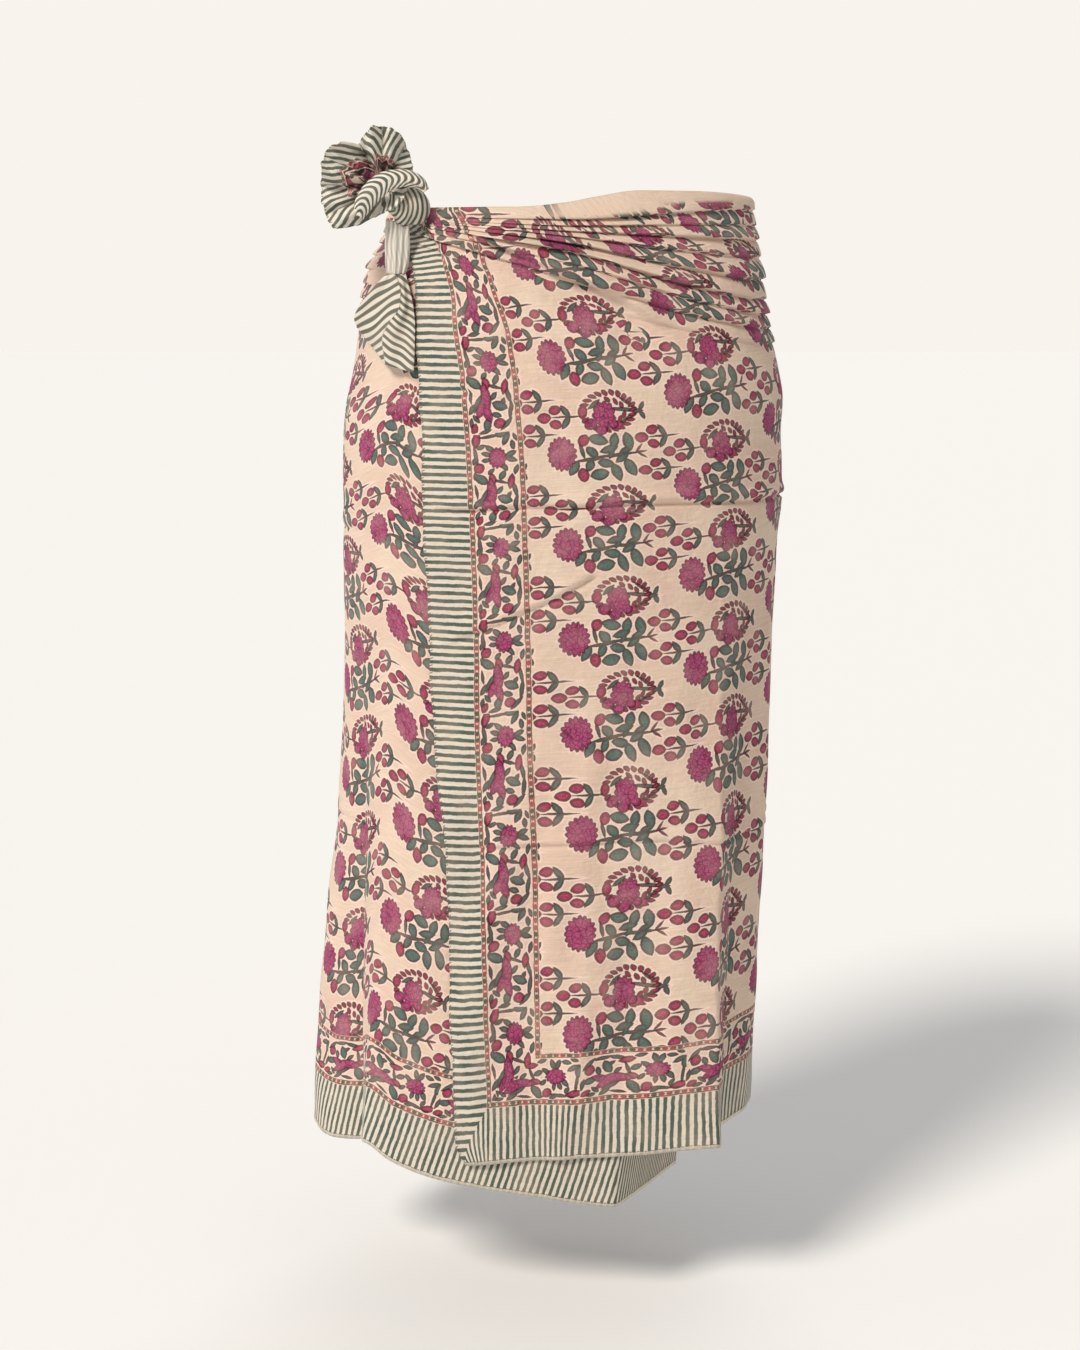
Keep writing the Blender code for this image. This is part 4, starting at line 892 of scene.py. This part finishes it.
def ringGap(tree, spot, across, up, halfWidth, halfHeight, count, length, width):
    # a ring of small drops
    size, turn = roundPlace(tree, spot, across, up, halfWidth, halfHeight)
    step, radius = 2.0 * math.pi / count, (halfWidth + halfHeight) / 2.0
    inStep = addNode(tree, "Math", turn, step / 2.0, -step / 2.0, operation="WRAP")
    along = addNode(tree, "Math", inStep, radius, operation="MULTIPLY")
    away = addNode(tree, "Math", size, radius, -radius, operation="MULTIPLY_ADD")
    return leafGap(tree, addNode(tree, "CombineXYZ", along, away), (0.0, 0.0, length, width, 62.0))


def inkOver(tree, colour, gap, full, gone, ink, strength=1.0):
    # ink where the gap is under full, fading out until it is gone
    mask = addNode(tree, "MapRange", gap, full, gone, strength, 0.0, interpolation_type="SMOOTHSTEP")
    return addNode(tree, "Mix", mask, into={6: colour, 7: linear(ink)}, output=2, data_type="RGBA")


def fieldPlace(tree, along, up, firstAcross):
    # a place's own cell: how far across its column, and its height with each column printed lower than the one before
    sizes = sheetPrint
    start = sizes["firstColumn"] + firstAcross
    column = addNode(tree, "Math", addNode(tree, "Math", along, start, operation="SUBTRACT"), sizes["columnEvery"], operation="DIVIDE")
    column = addNode(tree, "Math", column, operation="FLOOR")
    moved = addNode(tree, "Math", column, -sizes["columnEvery"], -sizes["firstColumn"], operation="MULTIPLY_ADD")
    lowered = addNode(tree, "Math", column, sizes["columnDrop"], -sizes["firstRow"] - sizes["columnDrop"], operation="MULTIPLY_ADD")
    return addNode(tree, "Math", along, moved), addNode(tree, "Math", up, lowered)


def printedCotton(name, strength, paler, borderInk="borderGround"):
    # plain-weave cotton, block printed: matt, slightly uneven ink with dark outlines and a pale halo round each block
    material = bpy.data.materials.new(name)
    material.use_nodes = True
    tree = material.node_tree
    shader = tree.nodes["Principled BSDF"]
    sizes = sheetPrint
    spot = addNode(tree, "Mapping", addNode(tree, "UVMap", uv_map="cloth"), into={3: (1000.0, 1000.0, 1.0)})
    shake = addNode(tree, "TexNoise", into={"Vector": spot, "Scale": 0.11, "Detail": 2.0}, output="Color")
    shaken = addNode(tree, "VectorMath", shake, (1.9, 1.9, 0.0), (-0.95, -0.95, 0.0), operation="MULTIPLY_ADD")
    spot = addNode(tree, "VectorMath", spot, shaken, operation="ADD")
    parts = addNode(tree, "SeparateXYZ", spot).node.outputs
    along, up = parts["X"], parts["Y"]

    # the border turns the corner on a mitre: a place's own distance in from the edge, and along it
    lower = addNode(tree, "Math", addNode(tree, "Math", up, sizes["hemRope"], operation="MINIMUM"), sizes["outerRope"] / sizes["hemRope"], operation="MULTIPLY")
    above = addNode(tree, "Math", addNode(tree, "Math", up, sizes["hemRope"], operation="SUBTRACT"), 0.0, operation="MAXIMUM")
    share = (sizes["innerRope"] - sizes["outerRope"]) / (sizes["hemInnerRope"] - sizes["hemRope"])
    fromHem = addNode(tree, "Math", above, share, lower, operation="MULTIPLY_ADD")
    inward = addNode(tree, "Math", along, fromHem, operation="MINIMUM")
    onSide = addNode(tree, "Math", along, fromHem, operation="LESS_THAN")
    lengthwise = addNode(tree, "Mix", onSide, into={2: along, 3: up}, data_type="FLOAT")

    # the ground: warmer in patches, paler in the border, with the slubs of hand-spun yarn
    patches = addNode(tree, "MapRange", addNode(tree, "TexNoise", into={"Vector": spot, "Scale": 0.012, "Detail": 3.0}), 0.35, 0.7)
    ground = addNode(tree, "Mix", patches, into={6: linear(inks["ground"]), 7: linear(inks["groundWarm"])}, output=2, data_type="RGBA")
    # the border's ground; on the tied end it is painted paler, a painted highlight
    colour = inkOver(tree, ground, inward, sizes["outerRope"], sizes["outerRope"] + 8.0, inks[borderInk])
    yarnPlace = addNode(tree, "Mapping", spot, into={3: (0.030, 0.80, 1.0)})
    yarn = addNode(tree, "TexNoise", into={"Vector": yarnPlace, "Scale": 1.0, "Detail": 3.0, "Roughness": 0.6})
    shade = addNode(tree, "MapRange", yarn, 0.3, 0.7, 0.88, 1.06)

    # the field: columns of branches, with a ringed flower over each
    across, raised = fieldPlace(tree, along, up, -20.0)
    cell = addNode(tree, "CombineXYZ", across, addNode(tree, "Math", raised, sizes["rowEvery"] - 30.5, -30.5, operation="WRAP"))
    leaves = chartGap(tree, cell, branch["leaf"] + ringed["leaf"])
    buds = chartGap(tree, cell, branch["bud"] + ringed["bud"] + ringed["innerDrops"], after=leaves)
    ring = ringGap(tree, cell, 45.5, 38.8, 23.4, 17.6, 23, 7.2, 3.9)
    buds = addNode(tree, "Math", buds, ring, operation="MINIMUM")
    blossoms = chartGap(tree, cell, ringed["blossom"], bloomGap(tree, cell, 0.0, 0.0, 13.6, 16.9, 17, 2.0))
    blossoms = addNode(tree, "Math", blossoms, bloomGap(tree, cell, 41.5, 35.6, 10.8, 13.2, 11, 1.8), operation="MINIMUM")
    # the sprigs beyond each branch reach into the next column, so they have a cell of their own
    sprigAcross, sprigUp = fieldPlace(tree, along, up, 62.0)
    sprigUp = addNode(tree, "Math", sprigUp, -sprigPlaces["single"][1])
    sprigUp = addNode(tree, "Math", sprigUp, sizes["rowEvery"] / 2.0, -sizes["rowEvery"] / 2.0, operation="WRAP")
    pairUp = addNode(tree, "Math", addNode(tree, "Math", sprigUp, operation="ABSOLUTE"), sprigPlaces["pair"][2], operation="SUBTRACT")
    for place, height in ((sprigPlaces["pair"][0], pairUp), (sprigPlaces["single"][0], sprigUp)):
        beside = addNode(tree, "Math", sprigAcross, place, operation="SUBTRACT")
        sprigSpot = addNode(tree, "CombineXYZ", beside, addNode(tree, "Math", height, operation="ABSOLUTE"))
        leaves = chartGap(tree, sprigSpot, sprig["leaf"], leaves)
        buds = chartGap(tree, sprigSpot, sprig["bud"], buds)

    # the border's running vine takes over between the two ropes
    fromMiddle = addNode(tree, "Math", inward, (sizes["outerRope"] + sizes["innerRope"]) / 2.0, operation="SUBTRACT")
    onVine = addNode(tree, "Math", lengthwise, sizes["vineRepeat"] / 2.0, -sizes["vineRepeat"] / 2.0, operation="WRAP")
    vineSpot = addNode(tree, "CombineXYZ", fromMiddle, onVine)
    inField = addNode(tree, "Math", inward, sizes["innerRope"], operation="GREATER_THAN")
    vineLeaves = chartGap(tree, vineSpot, vine["leaf"], after=addNode(tree, "Math", leaves, buds, operation="MINIMUM"))
    vineBuds = chartGap(tree, vineSpot, vine["bud"], after=vineLeaves)
    vineBloom = chartGap(tree, vineSpot, vine["blossom"], bloomGap(tree, vineSpot, 2.5, 22.0, 8.4, 10.4, 13, 1.4))
    # no block reaches the striped band
    pastStripes = addNode(tree, "Math", addNode(tree, "Math", inward, sizes["outerRope"] + 1.5, operation="LESS_THAN"), 20.0, operation="MULTIPLY")
    leaves, buds, blossoms = (
        addNode(tree, "Math", addNode(tree, "Mix", inField, into={2: border, 3: field}, data_type="FLOAT"), pastStripes)
        for field, border in ((leaves, vineLeaves), (buds, vineBuds), (blossoms, vineBloom)))
    blot = addNode(tree, "TexNoise", into={"Vector": spot, "Scale": 0.9, "Detail": 3.0, "Roughness": 0.7})
    uneven = addNode(tree, "Math", blot, 1.3, -0.65, operation="MULTIPLY_ADD")
    anyBlock = addNode(tree, "Math", addNode(tree, "Math", leaves, buds, operation="MINIMUM"), blossoms, operation="MINIMUM")
    colour = inkOver(tree, colour, anyBlock, 1.5, 2.6, inks["halo"], strength)
    speckle = addNode(tree, "TexNoise", into={"Vector": spot, "Scale": 0.55, "Detail": 4.0, "Roughness": 0.8})
    speckle = addNode(tree, "Math", speckle, 22.0, -11.6, operation="MULTIPLY_ADD")
    petals = addNode(tree, "TexVoronoi", into={"Vector": spot, "Scale": 0.21}, feature="DISTANCE_TO_EDGE")
    petals = addNode(tree, "Math", petals, 14.0, -0.9, operation="MULTIPLY_ADD")
    for gap, ink, edge, pale, rim in (
            (leaves, "leaf", "leafEdge", "leafPale", 0.95), (buds, "bud", "budEdge", "blossomPale", 0.75),
            (blossoms, "blossom", "blossomEdge", "blossomPale", 0.6)):
        rough = addNode(tree, "Math", gap, uneven)
        colour = inkOver(tree, colour, rough, 0.25, 0.75, inks[edge], 0.9 * strength)
        colour = inkOver(tree, colour, rough, -rim - 0.5, -rim + 0.2, inks[ink], 0.92 * strength)
        faded = addNode(tree, "Math", addNode(tree, "Math", rough, 1.7), speckle, operation="MAXIMUM")
        colour = inkOver(tree, colour, faded, -0.8, 0.6, inks[pale], 0.42 * strength)
    petalLines = addNode(tree, "Math", addNode(tree, "Math", blossoms, 1.0), petals, operation="MAXIMUM")
    colour = inkOver(tree, colour, petalLines, -0.4, 0.4, inks["blossomEdge"], 0.6 * strength)

    # stripes, then the two ropes
    closer = sizes["stripeEvery"] / sizes["hemStripeEvery"]
    hemRun = addNode(tree, "Math", along, closer, operation="MULTIPLY")
    stripeRun = addNode(tree, "Mix", onSide, into={2: hemRun, 3: up}, data_type="FLOAT")
    stripe = addNode(tree, "Math", stripeRun, sizes["stripeEvery"] / 2.0, -sizes["stripeEvery"] / 2.0, operation="WRAP")
    stripe = addNode(tree, "Math", addNode(tree, "Math", stripe, operation="ABSOLUTE"), sizes["stripeHalf"], operation="SUBTRACT")
    stripe = addNode(tree, "Math", stripe, addNode(tree, "Math", inward, sizes["stripesEnd"], operation="SUBTRACT"), operation="MAXIMUM")
    stripe = addNode(tree, "Math", uneven, 0.9, stripe, operation="MULTIPLY_ADD")
    colour = inkOver(tree, colour, stripe, -0.35, 0.45, inks["stripe"], 0.9 * strength)
    toOuter, toInner = (
        addNode(tree, "Math", addNode(tree, "Math", inward, sizes[rope], operation="SUBTRACT"), operation="ABSOLUTE")
        for rope in ("outerRope", "innerRope"))
    toRope = addNode(tree, "Math", toOuter, toInner, operation="MINIMUM")
    colour = inkOver(tree, colour, toRope, sizes["ropeHalf"] + 0.3, sizes["ropeHalf"] + 1.0, inks["ropeGround"], 0.9 * strength)
    ropeLine = addNode(tree, "Math", addNode(tree, "Math", toRope, sizes["ropeHalf"] - 0.4, operation="SUBTRACT"), operation="ABSOLUTE")
    ropeLine = addNode(tree, "Math", ropeLine, sizes["ropeLine"], operation="SUBTRACT")
    lozengePlace = addNode(tree, "Math", lengthwise, sizes["lozengeEvery"] / 2.0, -sizes["lozengeEvery"] / 2.0, operation="WRAP")
    lozenge = leafGap(tree, addNode(tree, "CombineXYZ", lozengePlace, toRope), (0.0, 0.0, 5.2, 3.0, 0.0))
    ropeInk = addNode(tree, "Math", uneven, 0.5, addNode(tree, "Math", ropeLine, lozenge, operation="MINIMUM"), operation="MULTIPLY_ADD")
    ropePlace = addNode(tree, "Math", lengthwise, sizes["ropeColourEvery"] / 2.0, -sizes["ropeColourEvery"] / 2.0, operation="WRAP")
    red = addNode(tree, "Math", ropePlace, 0.5, operation="GREATER_THAN")
    redRope = addNode(tree, "Math", addNode(tree, "Math", red, -9.0, 9.0, operation="MULTIPLY_ADD"), ropeInk)
    darkRope = addNode(tree, "Math", red, 9.0, ropeInk, operation="MULTIPLY_ADD")
    colour = inkOver(tree, colour, darkRope, -0.1, 0.45, inks["ropeDark"], 0.85 * strength)
    colour = inkOver(tree, colour, redRope, -0.1, 0.45, inks["ropeRed"], 0.85 * strength)

    # the hem's narrow turning shows the bare ground over a line of stitches, and the free edge is overcast by hand
    inTurning = addNode(tree, "Math", up, sizes["turnedHem"], operation="SUBTRACT")
    colour = inkOver(tree, colour, inTurning, -0.5, 0.3, inks["borderGround"], 0.85)
    stitchGap = addNode(tree, "Math", addNode(tree, "Math", inTurning, operation="ABSOLUTE"), 0.35, operation="SUBTRACT")
    stitchRun = addNode(tree, "Math", along, 1.6, -1.6, operation="WRAP")
    stitchGap = addNode(tree, "Math", stitchGap, addNode(tree, "Math", addNode(tree, "Math", stitchRun, operation="ABSOLUTE"), 1.1, operation="SUBTRACT"), operation="MAXIMUM")
    overcastRun = addNode(tree, "Math", addNode(tree, "Math", along, -0.5, up, operation="MULTIPLY_ADD"), sizes["overcastEvery"] / 2.0, -sizes["overcastEvery"] / 2.0, operation="WRAP")
    overcast = addNode(tree, "Math", addNode(tree, "Math", overcastRun, operation="ABSOLUTE"), 0.55, operation="SUBTRACT")
    overcast = addNode(tree, "Math", overcast, addNode(tree, "Math", along, 2.6, operation="SUBTRACT"), operation="MAXIMUM")
    sewn = addNode(tree, "Math", stitchGap, overcast, operation="MINIMUM")
    colour = inkOver(tree, colour, sewn, -0.15, 0.35, inks["stitch"], 0.75 * strength)

    # ink worn thin in patches; the turned band at the waist is left bare
    worn = addNode(tree, "MapRange", addNode(tree, "TexNoise", into={"Vector": spot, "Scale": 0.035, "Detail": 4.0}), 0.42, 0.72, 0.0, 0.22)
    colour = addNode(tree, "Mix", worn, into={6: colour, 7: ground}, output=2, data_type="RGBA")
    bare = addNode(tree, "Attribute", attribute_name="bare", output="Fac")
    colour = addNode(tree, "Mix", bare, into={6: colour, 7: ground}, output=2, data_type="RGBA")
    if paler:
        colour = addNode(tree, "Mix", paler, into={6: colour, 7: linear(inks["reverse"])}, output=2, data_type="RGBA")
    shaded = addNode(tree, "Mix", 1.0, into={6: colour, 7: shade}, output=2, data_type="RGBA", blend_type="MULTIPLY")
    tree.links.new(shaded, shader.inputs["Base Color"])

    # threads 0.45 mm apart are too fine to show, so the weave is drawn three times as coarse
    warp, weft = (
        addNode(tree, "Math", addNode(tree, "Math", run, 2.0 * math.pi / 1.35, operation="MULTIPLY"), operation="SINE") for run in (along, up))
    threads = addNode(tree, "Math", warp, weft, operation="MULTIPLY")
    crinkles = addNode(tree, "TexNoise", into={"Vector": spot, "Scale": 0.13, "Detail": 5.0, "Roughness": 0.62})
    relief = addNode(tree, "Math", threads, 0.10, addNode(tree, "Math", yarn, 0.55, operation="MULTIPLY"), operation="MULTIPLY_ADD")
    relief = addNode(tree, "Math", crinkles, 5.0, relief, operation="MULTIPLY_ADD")
    pucker = addNode(tree, "MapRange", addNode(tree, "Math", inTurning, operation="ABSOLUTE"), 0.0, 5.0, 1.0, 0.0)
    puckered = addNode(tree, "Math", addNode(tree, "TexNoise", into={"Vector": along, "Scale": 0.28, "Detail": 1.0}), pucker, operation="MULTIPLY")
    relief = addNode(tree, "Math", puckered, 4.0, relief, operation="MULTIPLY_ADD")
    bump = addNode(tree, "Bump", into={"Height": relief, "Strength": 0.6, "Distance": 0.0006})
    tree.links.new(bump, shader.inputs["Normal"])
    shader.inputs["Roughness"].default_value = 0.88
    shader.inputs["Specular IOR Level"].default_value = 0.22
    shader.inputs["Sheen Weight"].default_value = 0.08
    shader.inputs["Sheen Roughness"].default_value = 0.5
    return material


face = printedCotton("block-printed cotton, face", 1.0, 0.0)
reverse = printedCotton("block-printed cotton, reverse", 0.5, 0.35)
# the striped border's ground is painted paler on the tied end: a painted highlight for the bright light on the knot
tiedEndPaintedHighlight = printedCotton("block-printed cotton, tied end", 1.0, 0.0, "tiedGroundPaintedHighlight")
pieces = {
    "outer_front": outer, "back_wrap": back, "under_front": under, "knot": knot, "rosette": rosette,
    "tail_neck": neck, "tail_lobe": lobe}
for piece in [*pieces.values(), lip]:
    # the rosette and its rolled edge take the paler ground, a painted highlight
    outside = reverse if piece is neck else (tiedEndPaintedHighlight if piece in (rosette, lip) else face)   # the neck shows its reverse
    piece.data.materials.append(outside)
    piece.data.materials.append(reverse)
print("cotton printed")


# each piece hangs from the root and hides the solid that it stands for

for node, piece in pieces.items():
    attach(piece, "root")
    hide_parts(node)
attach(lip, "root")


# the studio

studio = {
    "cameraAt": (-0.031, -2.400, -0.0571), "pitchedDown": 9.346, "lens": 64.861,
    "floorLevel": -1.06, "floorColour": "#F4F3F1", "backdrop": "#F8F4ED", "daylight": 0.36,
    # each light's name, the way that it comes from, its strength, how soft it is in degrees, and its colour
    "lights": [
        ("key window", (-0.46, -0.58, 0.67), 2.45, 16.0, "#FFF8EF"), ("cool side", (-0.95, -0.10, 0.10), 0.55, 30.0, "#E6F0FF"),
        ("back soft box", (0.10, 0.85, 0.55), 0.80, 50.0, "#FFFFFF")],
}
floorMesh = bpy.data.meshes.new("studioFloor")
floorShape = bmesh.new()
bmesh.ops.create_grid(floorShape, x_segments=2, y_segments=2, size=30.0)
floorShape.to_mesh(floorMesh)
floorShape.free()
floorMesh.transform(Matrix.Translation((0.0, 0.0, studio["floorLevel"])))
floor = bpy.data.objects.new("studioFloor", floorMesh)
bpy.context.scene.collection.objects.link(floor)
paint = bpy.data.materials.new("matt studio paint")
paint.use_nodes = True
paint.node_tree.nodes["Principled BSDF"].inputs["Base Color"].default_value = linear(studio["floorColour"])
paint.node_tree.nodes["Principled BSDF"].inputs["Roughness"].default_value = 0.9
floorMesh.materials.append(paint)
for name, way, strength, softness, colour in studio["lights"]:
    lamp = bpy.data.lights.new(name, "SUN")
    lamp.energy, lamp.angle, lamp.color = strength, math.radians(softness), linear(colour)[:3]
    lampObject = bpy.data.objects.new(name, lamp)
    lampObject.rotation_euler = Vector(way).to_track_quat("Z", "Y").to_euler()
    bpy.context.scene.collection.objects.link(lampObject)
world = bpy.data.worlds.new("soft daylight")
world.use_nodes = True
sky = world.node_tree
sky.nodes["Background"].inputs["Strength"].default_value = studio["daylight"]
sky.nodes["Background"].inputs["Color"].default_value = (1.0, 1.0, 1.0, 1.0)
paper = addNode(sky, "Background", linear(studio["backdrop"]), 1.0)
seen = addNode(sky, "LightPath", output="Is Camera Ray")
joined = addNode(sky, "MixShader", seen, sky.nodes["Background"].outputs[0], paper)
sky.links.new(joined, sky.nodes["World Output"].inputs["Surface"])
bpy.context.scene.world = world
bpy.context.scene.view_settings.view_transform = "Standard"

cameraData = bpy.data.cameras.new("camera")
cameraData.sensor_fit, cameraData.sensor_height, cameraData.lens = "VERTICAL", 36.0, studio["lens"]
camera = bpy.data.objects.new("camera", cameraData)
camera.location = studio["cameraAt"]
camera.rotation_euler = (math.radians(90.0 - studio["pitchedDown"]), 0.0, 0.0)
bpy.context.scene.collection.objects.link(camera)
bpy.context.scene.camera = camera
print("studio lit")
